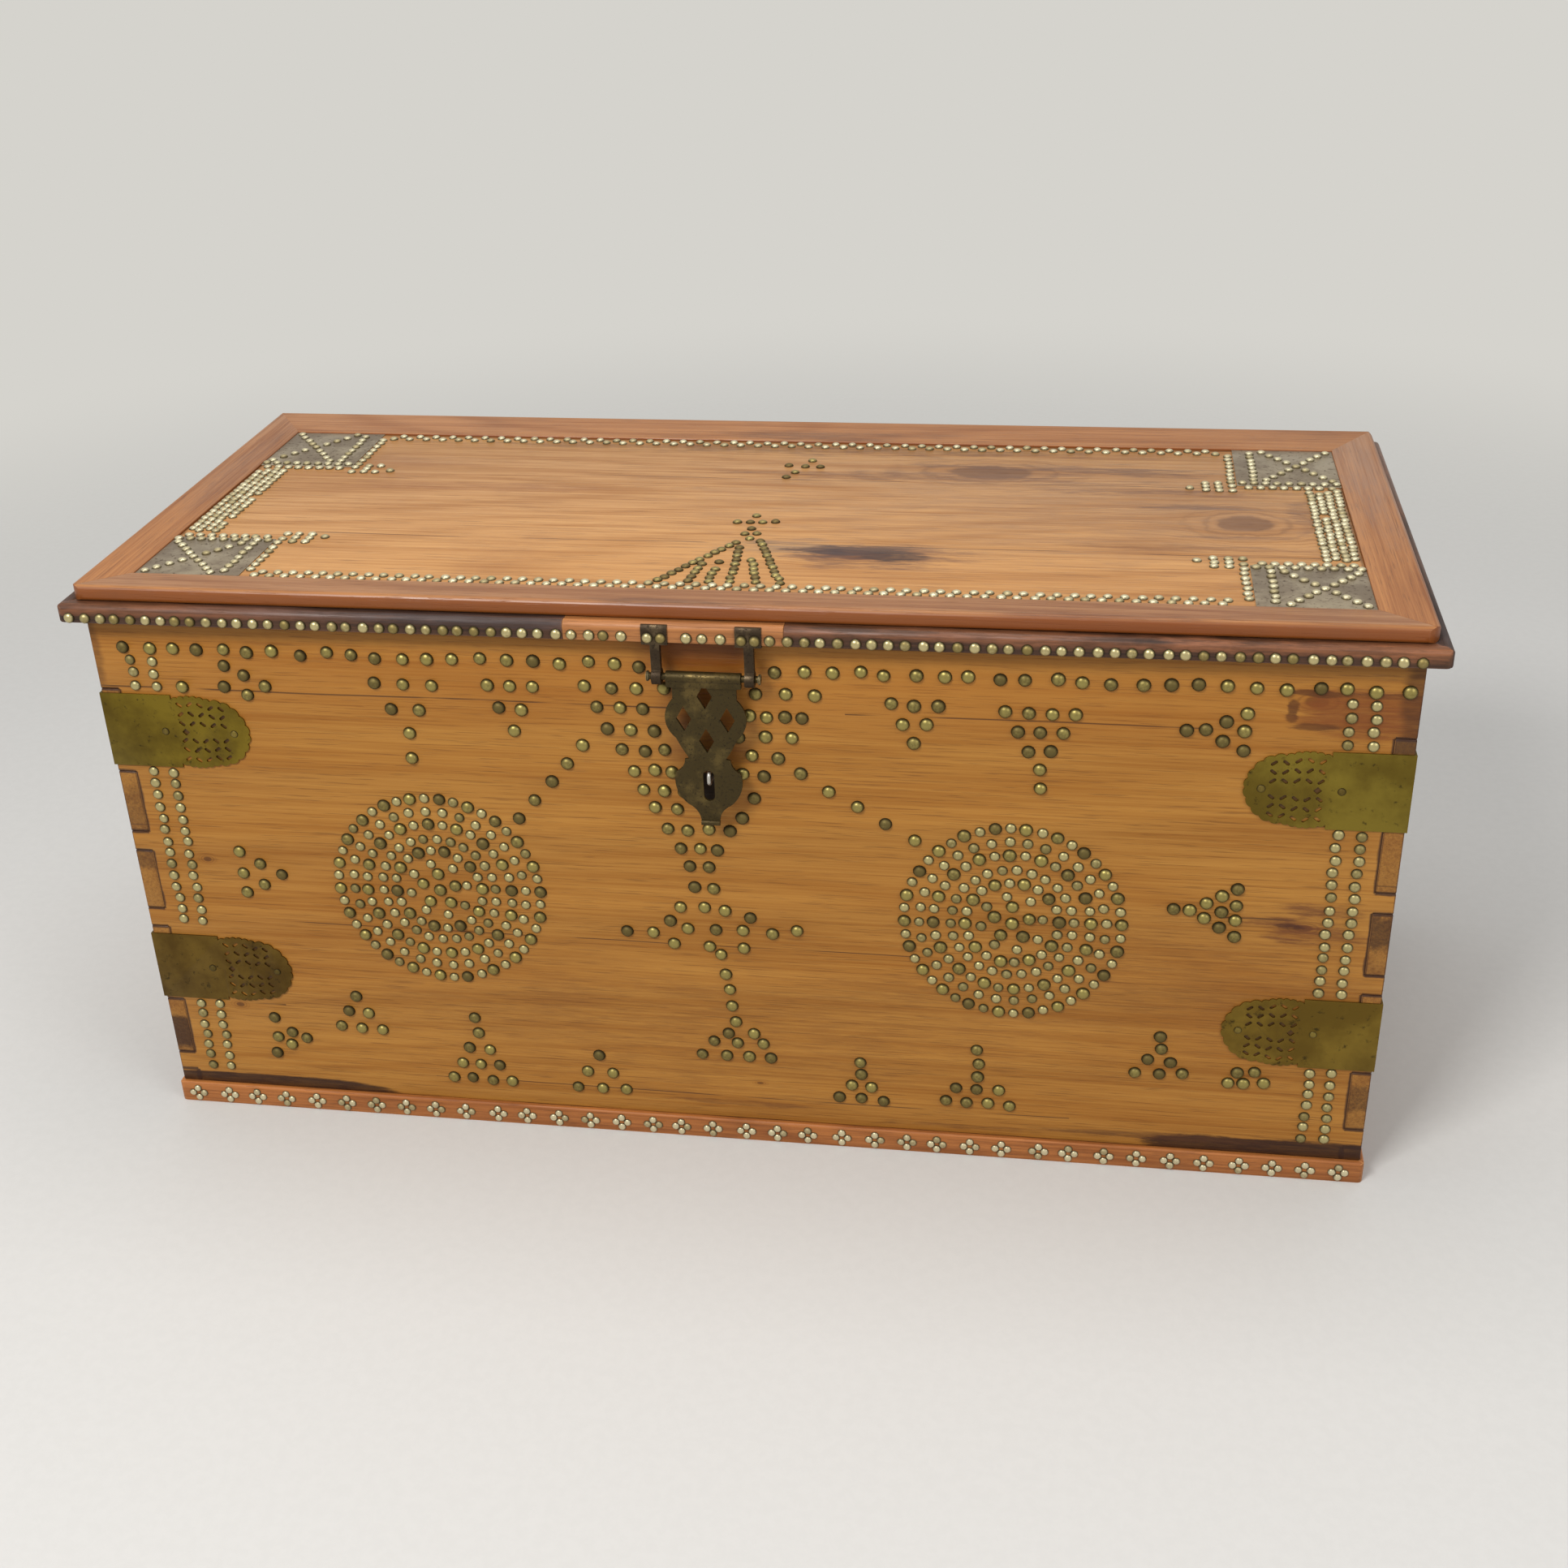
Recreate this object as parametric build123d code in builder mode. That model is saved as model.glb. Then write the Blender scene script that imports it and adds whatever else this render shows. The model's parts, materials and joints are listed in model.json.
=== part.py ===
from build123d import *
import os
import random
from math import asin, cos, pi, radians, sin

os.makedirs("parts", exist_ok=True)

# Studded dowry chest. Millimetres. X runs along the front, Y runs to the rear, Z is up.
# The origin is on the floor under the middle of the chest, and the studded front faces -Y.

# ---- Case boards ----
case_width = 1120.0
case_depth = 477.0
joint_z = 516.0  # top edge of the case, where the lid sits
board_thickness = 22.0  # front and back boards
end_thickness = 17.0
floor_thickness = 15.0

# ---- Plinth moulding under the case ----
plinth_height = 22.0
plinth_projection = 4.0
plinth_width = 44.0
plinth_round = 5.0
plinth_edge = 3.0

# ---- Finger joints at the four corners ----
finger_height = 62.0  # one tongue of an end board
finger_pitch = 82.0
finger_first = 70.0  # from the top edge down to the first tongue

# ---- Open till at the left end ----
till_length = 130.0
till_depth = 118.0
till_board = 12.0
till_groove = 5.0
till_below_joint = 12.0

# ---- Lid ----
lid_board_thickness = 28.0  # in the middle; the edge is rebated under the rails
rail_widths = {"front": 34.0, "back": 66.0, "left": 45.0, "right": 45.0}
rail_overhang = 7.0
rail_rise = 2.0  # rail top above the lid board
rail_thickness = 14.0
rail_top_round = 5.5
rail_under_round = 4.0
rail_inner_round = 1.2
rail_corner_round = 14.0
lip_corner_round = 7.0
lip_projection = 17.0
lip_face = 9.5  # upright studded face of the lip
lip_shoulder = 8.5  # where the rounded top of the lip meets the rail
lip_joint_left = -131.0  # the middle of the front lip is a later repair
lip_joint_right = 53.0

# ---- Brass corner straps and lid corner plates ----
strap_thickness = 1.5
strap_height = 71.0
strap_plain = 64.0  # plain sheet next to the corner
strap_reach = 131.0  # from the corner to the pointed tip
strap_upper_left_z = 407.0
strap_upper_right_z = 397.0
strap_lower_z = 157.0
strap_nail_reaches = (54.0, 118.0)
strap_slot = (6.4, 2.8)
slot_pitch = 9.6
slot_slant = 38.0
strap_lozenge = 5.0
plate_thickness = 0.8
plate_length = 94.0
plate_depths = {"front": 90.0, "back": 102.0}

# ---- Hasp, its eyes on the lid and its staple on the case ----
hasp_x = -15.0
hasp_off_board = 15.0  # from the front board to the rod
hasp_rod_z = 485.0
hasp_rod_radius = 3.0
hasp_barrel_radius = 5.0
hasp_barrel_length = 63.0
hasp_thickness = 2.5
hasp_rod_length = 96.0
eye_spacing = 78.0
eye_width = 8.0
eye_radius = 7.0
eye_bar_depth = 6.0
eye_clearance = 0.25
eye_plate_width = 22.0
eye_below_rail = 0.5
eye_plate_thickness = 1.5
slot_z = 384.5
slot_height = 29.0
slot_width = 9.5
staple_rod = 3.5
staple_height = 14.0
staple_below_slot_top = 2.0
staple_past_hasp = 0.8
staple_in_board = 14.0
staple_bend = 4.0

# ---- End handles ----
handle_z = 330.0
handle_off_board = 15.0
handle_rod_radius = 4.5
handle_lug_spacing = 112.0
lug_width = 9.0
lug_radius = 9.0
lug_base_radius = 17.0
lug_base_thickness = 3.0
lug_clearance = 0.1
bail_overlap = 12.5  # from the middle of a lug out to the middle of a leg
bail_drop = 74.0
bail_bend = 13.0
trunnion_bend = 7.0
trunnion_inside = 8.0

# ---- Rear hinges ----
hinge_x = 330.0
hinge_width = 60.0
hinge_leaf = 2.5
hinge_leaf_drop = 72.0
hinge_leaf_under_lid = 40.0
knuckle_radius = 5.0
knuckle_off_board = 5.5
knuckle_middle = 20.0
knuckle_gap = 0.3
hinge_pin_radius = 2.5
hinge_pin_clearance = 0.08
mortise_clearance = 0.2
notch_clearance = 1.5

# ---- Nails and studs: dome radius, dome height, shank radius and shank length ----
large_stud = (5.5, 3.6, 1.0, 12.0)
lip_stud = (4.7, 3.2, 1.0, 9.0)
small_stud = (4.0, 2.7, 0.9, 10.0)
column_stud = (4.3, 2.8, 0.9, 10.0)
plinth_stud = (3.3, 2.2, 0.8, 9.0)
lid_stud = (3.9, 2.6, 0.9, 9.0)
nail_stud = (3.4, 1.6, 1.0, 9.0)
head_gap = 0.3  # least wood between two stud heads
scatter = 1.2  # how far a hand-set stud strays from its mark

# ---- Derived places ----
half_width = case_width / 2
half_depth = case_depth / 2
inner_half_width = half_width - end_thickness
inner_half_depth = half_depth - board_thickness
lid_board_top = joint_z + lid_board_thickness
rail_top = lid_board_top + rail_rise
rail_under = rail_top - rail_thickness
rail_inner = {side: width - rail_overhang for side, width in rail_widths.items()}
field_half_width = half_width - rail_inner["left"]
field_edge_y = {"front": -half_depth + rail_inner["front"], "back": half_depth - rail_inner["back"]}
floor_z = plinth_height
floor_top = floor_z + floor_thickness
case_height = joint_z - plinth_height
hinge_y = half_depth + knuckle_off_board
rod_y = -half_depth - hasp_off_board
lip_outer_y = half_depth + lip_projection

FRONT = Plane.XZ.offset(half_depth)
OUTWARD = {
    "front": Vector(0, -1, 0),
    "back": Vector(0, 1, 0),
    "left": Vector(-1, 0, 0),
    "right": Vector(1, 0, 0),
}


def write(piece, name):
    """Label a finished piece and write its STEP file."""
    piece.part.label = name
    export_step(piece.part, f"parts/{name}.step")


# ======================================================================
# Case: four boards joined by fingers, on a mitred plinth
# ======================================================================
def finger_tops():
    """Top height of every tongue of an end board."""
    tops = []
    top = joint_z - finger_first
    while top - finger_height > plinth_height + finger_height / 4:
        tops.append(top)
        top -= finger_pitch
    return tops


def tongue_centres(ends, faces):
    """Middle of every block where an end board runs through to the face of a long board."""
    return [
        (
            end * (half_width - end_thickness / 2),
            face * (half_depth - board_thickness / 2),
            top - finger_height / 2,
        )
        for top in finger_tops()
        for end in ends
        for face in faces
    ]


till_side_x = -inner_half_width + till_length
till_floor_z = joint_z - till_depth
till_top = joint_z - till_below_joint


def till_grooves():
    """Grooves that hold the till's two boards in the case boards."""
    groove_length = 2 * (inner_half_depth + till_groove)
    with Locations((till_side_x + till_board / 2, 0, (till_floor_z + till_top) / 2)):
        Box(till_board, groove_length, till_top - till_floor_z, mode=Mode.SUBTRACT)
    with Locations((till_side_x - (till_length + till_groove) / 2, 0, till_floor_z + till_board / 2)):
        Box(till_length + till_groove, groove_length, till_board, mode=Mode.SUBTRACT)


def long_board(side_y):
    """Front or back board, cut away where the end boards' tongues pass through it."""
    with BuildPart() as board:
        with Locations((0, side_y * (half_depth - board_thickness / 2), plinth_height + case_height / 2)):
            Box(case_width, board_thickness, case_height)
        with Locations(*tongue_centres((-1, 1), (side_y,))):
            Box(end_thickness, board_thickness, finger_height, mode=Mode.SUBTRACT)
        till_grooves()
    return board


def end_board(side_x):
    """End board between the long boards, with tongues that reach both faces."""
    with BuildPart() as board:
        with Locations((side_x * (half_width - end_thickness / 2), 0, plinth_height + case_height / 2)):
            Box(end_thickness, 2 * inner_half_depth, case_height)
        with Locations(*tongue_centres((side_x,), (-1, 1))):
            Box(end_thickness, board_thickness, finger_height)
        till_grooves()
    return board


front_board = long_board(-1)
write(front_board, "front_board")
back_board = long_board(1)
write(back_board, "back_board")
left_end_board = end_board(-1)
write(left_end_board, "left_end_board")
right_end_board = end_board(1)
write(right_end_board, "right_end_board")

# Floor planks lie on the plinth, inside the four boards.
plank_depth = 2 * inner_half_depth / 3
for plank_number, plank_name in enumerate(("front", "middle", "back")):
    plank_y = -inner_half_depth + (plank_number + 0.5) * plank_depth
    with BuildPart() as floor_plank:
        with Locations((0, plank_y, floor_z + floor_thickness / 2)):
            Box(2 * inner_half_width, plank_depth, floor_thickness)
    write(floor_plank, f"floor_plank_{plank_name}")

# The open till: a side board and a floor board in grooves.
with BuildPart() as till_side:
    with Locations((till_side_x + till_board / 2, 0, (till_floor_z + till_top) / 2)):
        Box(till_board, 2 * (inner_half_depth + till_groove), till_top - till_floor_z)
write(till_side, "till_side")

with BuildPart() as till_floor:
    with Locations((till_side_x - (till_length + till_groove) / 2, 0, till_floor_z + till_board / 2)):
        Box(till_length + till_groove, 2 * (inner_half_depth + till_groove), till_board)
write(till_floor, "till_floor")


# ======================================================================
# Mitred mouldings: the plinth, the lid's rails and the lid's lip
# ======================================================================
def section_plane(side):
    """Plane across a moulding: its x is outward from the case face, its y is height."""
    out = OUTWARD[side]
    face = half_depth if side in ("front", "back") else half_width
    return Plane(origin=out * face, x_dir=out, z_dir=out.cross(Vector(0, 0, 1)))


def all_round(width):
    """The same inner width on every side of a frame."""
    return {side: width for side in OUTWARD}


def mitre_wedge(side, reach, inner):
    """Plan outline of one side of a mitred frame, from its outer to its inner corners."""
    far_x, far_y = half_width + reach, half_depth + reach
    left, right = inner["left"] - half_width, half_width - inner["right"]
    front, back = inner["front"] - half_depth, half_depth - inner["back"]
    return {
        "front": [(-far_x, -far_y), (far_x, -far_y), (right, front), (left, front)],
        "back": [(-far_x, far_y), (far_x, far_y), (right, back), (left, back)],
        "left": [(-far_x, -far_y), (-far_x, far_y), (left, back), (left, front)],
        "right": [(far_x, -far_y), (far_x, far_y), (right, back), (right, front)],
    }[side]


def mitred_side(side, section, reach, inner, corner_round):
    """One moulding of a frame round the chest, mitred at both ends."""
    run = half_width + reach if side in ("front", "back") else half_depth + reach
    with BuildPart() as moulding:
        with BuildSketch(section_plane(side)):
            add(section.sketch)
        extrude(amount=run, both=True)
        with BuildSketch(Plane.XY):
            Polygon(*mitre_wedge(side, reach, inner), align=None)
            RectangleRounded(
                2 * (half_width + reach),
                2 * (half_depth + reach),
                corner_round,
                mode=Mode.INTERSECT,
            )
        extrude(amount=rail_top, mode=Mode.INTERSECT)
    return moulding


# Sections: x is outward from the case face, y is height.
# Plinth: plank on edge with its upper outer edge eased.
with BuildSketch() as plinth_section:
    with BuildLine():
        Polyline(
            (plinth_projection - plinth_width, 0),
            (plinth_projection, 0),
            (plinth_projection, plinth_height),
            (plinth_projection - plinth_width, plinth_height),
            close=True,
        )
    make_face()
    fillet(plinth_section.vertices().group_by(Axis.X)[-1].sort_by(Axis.Y)[-1], plinth_edge)

# Rails: planks laid in the lid board's rebate, with a rounded nose that overhangs the case.
rail_sections = {}
for side_name in OUTWARD:
    with BuildSketch() as rail_section:
        with Locations((rail_overhang - rail_widths[side_name] / 2, rail_top - rail_thickness / 2)):
            Rectangle(rail_widths[side_name], rail_thickness)
        fillet(rail_section.vertices().group_by(Axis.X)[-1].sort_by(Axis.Y)[0], rail_under_round)
        fillet(rail_section.vertices().group_by(Axis.X)[-1].sort_by(Axis.Y)[-1], rail_top_round)
        fillet(rail_section.vertices().group_by(Axis.X)[0].sort_by(Axis.Y)[-1], rail_inner_round)
    rail_sections[side_name] = rail_section

# Lip: upright studded face under a rounded shoulder.
lip_face_top = joint_z + lip_face
lip_swell = 0.35 * (rail_under - lip_face_top)
with BuildSketch() as lip_section:
    with BuildLine():
        Polyline(
            (lip_shoulder, rail_under),
            (0, rail_under),
            (0, joint_z),
            (lip_projection, joint_z),
            (lip_projection, lip_face_top),
        )
        ThreePointArc(
            (lip_projection, lip_face_top),
            (
                (lip_projection + lip_shoulder) / 2 + lip_swell,
                (lip_face_top + rail_under) / 2 + lip_swell,
            ),
            (lip_shoulder, rail_under),
        )
    make_face()

for side_name in OUTWARD:
    plinth = mitred_side(
        side_name, plinth_section, plinth_projection, all_round(plinth_width), plinth_round
    )
    write(plinth, f"plinth_{side_name}")
    rail = mitred_side(side_name, rail_sections[side_name], rail_overhang, rail_inner, rail_corner_round)
    write(rail, f"lid_rail_{side_name}")

for side_name in ("left", "right"):
    lip = mitred_side(side_name, lip_section, lip_projection, all_round(0), lip_corner_round)
    write(lip, f"lid_lip_{side_name}")

# The front lip is three lengths butted end to end.
lip_lengths = {
    "left": (-half_width - lip_projection, lip_joint_left),
    "centre": (lip_joint_left, lip_joint_right),
    "right": (lip_joint_right, half_width + lip_projection),
}
whole_front_lip = mitred_side("front", lip_section, lip_projection, all_round(0), lip_corner_round)
for length_name, (start, end) in lip_lengths.items():
    with BuildPart() as front_lip:
        add(whole_front_lip.part)
        with Locations(((start + end) / 2, -half_depth, joint_z)):
            Box(
                end - start,
                4 * lip_projection,
                4 * rail_thickness,
                mode=Mode.INTERSECT,
            )
    write(front_lip, f"lid_lip_front_{length_name}")

# The rear lip is notched over each hinge.
notch_height = knuckle_radius + notch_clearance
notch_width = hinge_width + 2 * notch_clearance
with BuildPart() as lid_lip_back:
    add(mitred_side("back", lip_section, lip_projection, all_round(0), lip_corner_round).part)
    with Locations(
        (-hinge_x, half_depth + lip_projection / 2, joint_z + notch_height / 2),
        (hinge_x, half_depth + lip_projection / 2, joint_z + notch_height / 2),
    ):
        Box(notch_width, lip_projection, notch_height, mode=Mode.SUBTRACT)
write(lid_lip_back, "lid_lip_back")

# ======================================================================
# Lid board, with mortises for the hinge leaves on its underside
# ======================================================================
with BuildPart() as lid_board:
    with Locations((0, 0, (joint_z + rail_under) / 2)):
        Box(case_width, case_depth, rail_under - joint_z)
    with Locations((0, sum(field_edge_y.values()) / 2, (rail_under + lid_board_top) / 2)):
        Box(
            2 * field_half_width,
            field_edge_y["back"] - field_edge_y["front"],
            lid_board_top - rail_under,
        )
    for hinge_centre in (-hinge_x, hinge_x):
        with Locations((hinge_centre, half_depth - hinge_leaf_under_lid / 2, joint_z + hinge_leaf / 2)):
            Box(
                hinge_width + 2 * mortise_clearance,
                hinge_leaf_under_lid + 2 * mortise_clearance,
                hinge_leaf,
                mode=Mode.SUBTRACT,
            )
write(lid_board, "lid_board")

# ======================================================================
# Rear hinges: leaf on the back board, leaf under the lid, one pin each
# ======================================================================
knuckle_end = (hinge_width - knuckle_middle) / 2 - knuckle_gap
knuckle_end_centre = (hinge_width - knuckle_end) / 2


def hinge_barrels(centre, places):
    """Knuckles of one hinge, as (offset along the pin, length) pairs."""
    for offset, length in places:
        with Locations(Location((centre + offset, hinge_y, joint_z), (0, 90, 0))):
            Cylinder(knuckle_radius, length)


with BuildPart() as case_hinge_leaves:
    for hinge_centre in (-hinge_x, hinge_x):
        with Locations((hinge_centre, half_depth + hinge_leaf / 2, joint_z - hinge_leaf_drop / 2)):
            Box(hinge_width, hinge_leaf, hinge_leaf_drop)
        with Locations((hinge_centre, half_depth + hinge_leaf / 2, joint_z)):
            Box(
                knuckle_middle + 2 * knuckle_gap,
                hinge_leaf,
                2 * (knuckle_radius + notch_clearance),
                mode=Mode.SUBTRACT,
            )
        hinge_barrels(
            hinge_centre,
            [(-knuckle_end_centre, knuckle_end), (knuckle_end_centre, knuckle_end)],
        )
        with Locations(Location((hinge_centre, hinge_y, joint_z), (0, 90, 0))):
            Cylinder(hinge_pin_radius + hinge_pin_clearance, 2 * hinge_width, mode=Mode.SUBTRACT)
write(case_hinge_leaves, "case_hinge_leaves")

with BuildPart() as lid_hinge_leaves:
    for hinge_centre in (-hinge_x, hinge_x):
        with Locations((hinge_centre, half_depth - hinge_leaf_under_lid / 2, joint_z + hinge_leaf / 2)):
            Box(hinge_width, hinge_leaf_under_lid, hinge_leaf)
        with Locations((hinge_centre, hinge_y - knuckle_off_board / 2, joint_z + hinge_leaf / 2)):
            Box(knuckle_middle, knuckle_off_board, hinge_leaf)
        hinge_barrels(hinge_centre, [(0, knuckle_middle)])
        with Locations(Location((hinge_centre, hinge_y, joint_z), (0, 90, 0))):
            Cylinder(hinge_pin_radius + hinge_pin_clearance, 2 * hinge_width, mode=Mode.SUBTRACT)
write(lid_hinge_leaves, "lid_hinge_leaves")

with BuildPart() as hinge_pins:
    with Locations(
        Location((-hinge_x, hinge_y, joint_z), (0, 90, 0)),
        Location((hinge_x, hinge_y, joint_z), (0, 90, 0)),
    ):
        Cylinder(hinge_pin_radius, hinge_width)
write(hinge_pins, "hinge_pins")


# ======================================================================
# Brass corner straps: plain at the corner, pierced and scalloped to a point
# ======================================================================
scallop = 2.2
lobe_half = (strap_height / 2 - 1.5, strap_height / 2 - 4.0)  # first lobe, second lobe
lobe_split = strap_plain + 36.0


def leaf_half_height(reach):
    """Half height of the pierced end at a distance from the corner."""
    if reach < lobe_split:
        part = (reach - strap_plain) / (lobe_split - strap_plain)
        return lobe_half[0] - 5.0 + 5.0 * sin(pi * (0.12 + 0.8 * part))
    part = (reach - lobe_split) / (strap_reach - lobe_split)
    return (lobe_half[1] - 1.0) * max(1 - part**2.4, 0.0) ** 0.62


def leaf_edge():
    """Corner points of the scalloped end, from its upper shoulder round to the lower one."""
    reaches = [strap_plain + 6.0 * step for step in range(7)]
    reaches += [lobe_split + share * (strap_reach - lobe_split) for share in (0.3, 0.58, 0.8, 0.94)]
    upper = [(reach, leaf_half_height(reach)) for reach in reaches]
    return upper + [(strap_reach, 0.0)] + [(reach, -half) for reach, half in reversed(upper)]


# One leaf: x is the reach from the corner, y is measured from the strap's middle.
with BuildSketch() as strap_leaf:
    with BuildLine():
        edge = leaf_edge()
        Polyline(
            edge[-1],
            (strap_plain, -strap_height / 2),
            (0, -strap_height / 2),
            (0, strap_height / 2),
            (strap_plain, strap_height / 2),
            edge[0],
        )
        for start, end in zip(edge, edge[1:]):
            along, up = end[0] - start[0], end[1] - start[1]
            length = (along**2 + up**2) ** 0.5
            bulge = min(scallop, length / 4) / length
            middle = ((start[0] + end[0]) / 2 - up * bulge, (start[1] + end[1]) / 2 + along * bulge)
            ThreePointArc(start, middle, end)
    make_face()
    # Punched slots lie slantwise in pairs above and below the middle.
    for slot_column in range(5):
        reach = strap_plain + 7.0 + slot_column * slot_pitch
        rows = 3 if leaf_half_height(reach) > 24 else 2
        for row in range(rows):
            height = leaf_half_height(reach) * (row + 0.9) / (rows + 0.6)
            slant = slot_slant if (slot_column + row) % 2 else -slot_slant
            for side in (-1, 1):
                with Locations(Location((reach, side * height), side * slant)):
                    SlotOverall(*strap_slot, mode=Mode.SUBTRACT)
    with Locations(Location((strap_plain + 9.0, 0), 45)):
        Rectangle(strap_lozenge, strap_lozenge, mode=Mode.SUBTRACT)


def strap(side_x, middle_z):
    """One strap folded round a front corner, with a leaf on the front and one on the end."""
    corner = (side_x * half_width, -half_depth, middle_z)
    with BuildPart() as folded:
        with BuildSketch(
            Plane(origin=corner, x_dir=(-side_x, 0, 0), z_dir=(0, -1, 0)),
            Plane(origin=corner, x_dir=(0, 1, 0), z_dir=(side_x, 0, 0)),
        ):
            add(strap_leaf.sketch)
        extrude(amount=strap_thickness)
        with Locations(
            (
                side_x * (half_width + strap_thickness / 2),
                -half_depth - strap_thickness / 2,
                middle_z,
            )
        ):
            Box(strap_thickness, strap_thickness, strap_height)
    return folded


strap_places = {
    "strap_upper_left": (-1, strap_upper_left_z),
    "strap_upper_right": (1, strap_upper_right_z),
    "strap_lower_left": (-1, strap_lower_z),
    "strap_lower_right": (1, strap_lower_z),
}
for strap_name, (strap_side, strap_z) in strap_places.items():
    write(strap(strap_side, strap_z), strap_name)

# Thin brass plates in the four corners of the lid's sunk field.
for end_name, plate_y in (("front", -1), ("back", 1)):
    for hand_name, plate_x in (("left", -1), ("right", 1)):
        with BuildPart() as corner_plate:
            with Locations(
                (
                    plate_x * (field_half_width - plate_length / 2),
                    field_edge_y[end_name] - plate_y * plate_depths[end_name] / 2,
                    lid_board_top + plate_thickness / 2,
                )
            ):
                Box(plate_length, plate_depths[end_name], plate_thickness)
        write(corner_plate, f"lid_corner_plate_{end_name}_{hand_name}")

# ======================================================================
# Hasp: pierced plate folded over a rod that turns in two eyes under the lid
# ======================================================================
hasp_shoulder = 27.0
hasp_bulge = 34.5
hasp_waist = 15.5
hasp_ear = 19.5  # square shoulder of the lower lobe
hasp_cusp = (27.5, 397.0)  # small point between the ear and the lower lobe
hasp_lobe = 28.5
hasp_tip = 8.0
hasp_tip_z = 349.0
hasp_seam_z = hasp_rod_z - 8.0
lozenge = (13.0, 23.0)
lozenge_places = [(0, 468.0), (-18.5, 447.0), (18.5, 447.0), (0, 427.0)]


hasp_plane = Plane(
    origin=(hasp_x, rod_y + hasp_thickness / 2, 0),
    z_dir=(0, -1, 0),
    x_dir=(1, 0, 0),
)
with BuildPart() as hasp_plate:
    with BuildSketch(hasp_plane):
        # Half of the outline, mirrored about the plate's middle.
        with BuildLine():
            Polyline(
                (0, hasp_rod_z),
                (hasp_barrel_length / 2, hasp_rod_z),
                (hasp_barrel_length / 2, hasp_seam_z),
                (hasp_shoulder, hasp_seam_z - 2),
                (hasp_shoulder, 465),
            )
            ThreePointArc((hasp_shoulder, 465), (hasp_bulge, 447), (hasp_shoulder - 1, 429))
            ThreePointArc((hasp_shoulder - 1, 429), (21, 419), (hasp_waist, 410))
            Line((hasp_waist, 410), (hasp_ear, 409))
            ThreePointArc((hasp_ear, 409), (hasp_ear + 2.5, 401.5), hasp_cusp)
            ThreePointArc(hasp_cusp, (hasp_lobe, 384), (18, 366))
            ThreePointArc((18, 366), (10.5, 359), (hasp_tip, hasp_tip_z))
            Line((hasp_tip, hasp_tip_z), (0, hasp_tip_z))
            mirror(about=Plane.YZ)
        make_face()
        for lozenge_x, lozenge_z in lozenge_places:
            with Locations((lozenge_x, lozenge_z)):
                Polygon(
                    (0, -lozenge[1] / 2),
                    (lozenge[0] / 2, 0),
                    (0, lozenge[1] / 2),
                    (-lozenge[0] / 2, 0),
                    mode=Mode.SUBTRACT,
                )
        with Locations(Location((0, slot_z), 90)):
            SlotOverall(slot_height, slot_width, mode=Mode.SUBTRACT)
    extrude(amount=hasp_thickness)
    # The fold: a barrel round the rod and the lap riveted down below it.
    with Locations(Location((hasp_x, rod_y, hasp_rod_z), (0, 90, 0))):
        Cylinder(hasp_barrel_radius, hasp_barrel_length)
    with Locations((hasp_x, rod_y - hasp_thickness, (hasp_rod_z + hasp_seam_z) / 2)):
        Box(hasp_barrel_length, hasp_thickness, hasp_rod_z - hasp_seam_z)
    with Locations(Location((hasp_x, rod_y, hasp_rod_z), (0, 90, 0))):
        Cylinder(hasp_rod_radius, hasp_barrel_length, mode=Mode.SUBTRACT)
    # The tip is rolled into a small finger grip.
    with Locations(Location((hasp_x, rod_y - hasp_thickness / 2, hasp_tip_z), (0, 90, 0))):
        Cylinder(hasp_thickness, 2 * hasp_tip)
write(hasp_plate, "hasp_plate")

with BuildPart() as hasp_rod:
    with Locations(Location((hasp_x, rod_y, hasp_rod_z), (0, 90, 0))):
        Cylinder(hasp_rod_radius, hasp_rod_length)
    for end in (-1, 1):
        head_x = hasp_x + end * (hasp_rod_length / 2 - 1)
        with Locations(Location((head_x, rod_y, hasp_rod_z), (0, 90, 0))):
            Cylinder(hasp_rod_radius + 1.5, 2)
write(hasp_rod, "hasp_rod")

# Eyes: an iron strap wrapped over the lip, with a bar down to a ring round the rod.
with BuildSketch() as eye_wrap:
    add(lip_section.sketch)
    offset(amount=eye_plate_thickness, kind=Kind.INTERSECTION)
    add(lip_section.sketch, mode=Mode.SUBTRACT)
    wrap_top = rail_under - eye_below_rail
    wrap_foot = joint_z - eye_plate_thickness
    with Locations((lip_projection / 2 + 4, (wrap_top + wrap_foot) / 2)):
        Rectangle(lip_projection, wrap_top - wrap_foot, mode=Mode.INTERSECT)
for hand_name, hand in (("left", -1), ("right", 1)):
    eye_x = hasp_x + hand * eye_spacing / 2
    with BuildPart() as hasp_eye:
        with BuildSketch(section_plane("front").offset(-eye_x)):
            add(eye_wrap.sketch)
        extrude(amount=eye_plate_width / 2, both=True)
        with Locations((eye_x, rod_y, (joint_z + hasp_rod_z - eye_plate_thickness) / 2)):
            Box(eye_width, eye_bar_depth, joint_z - hasp_rod_z - eye_plate_thickness)
        with Locations(Location((eye_x, rod_y, hasp_rod_z), (0, 90, 0))):
            Cylinder(eye_radius, eye_width)
            Cylinder(hasp_rod_radius + eye_clearance, 2 * eye_width, mode=Mode.SUBTRACT)
    write(hasp_eye, f"hasp_eye_{hand_name}")

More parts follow.
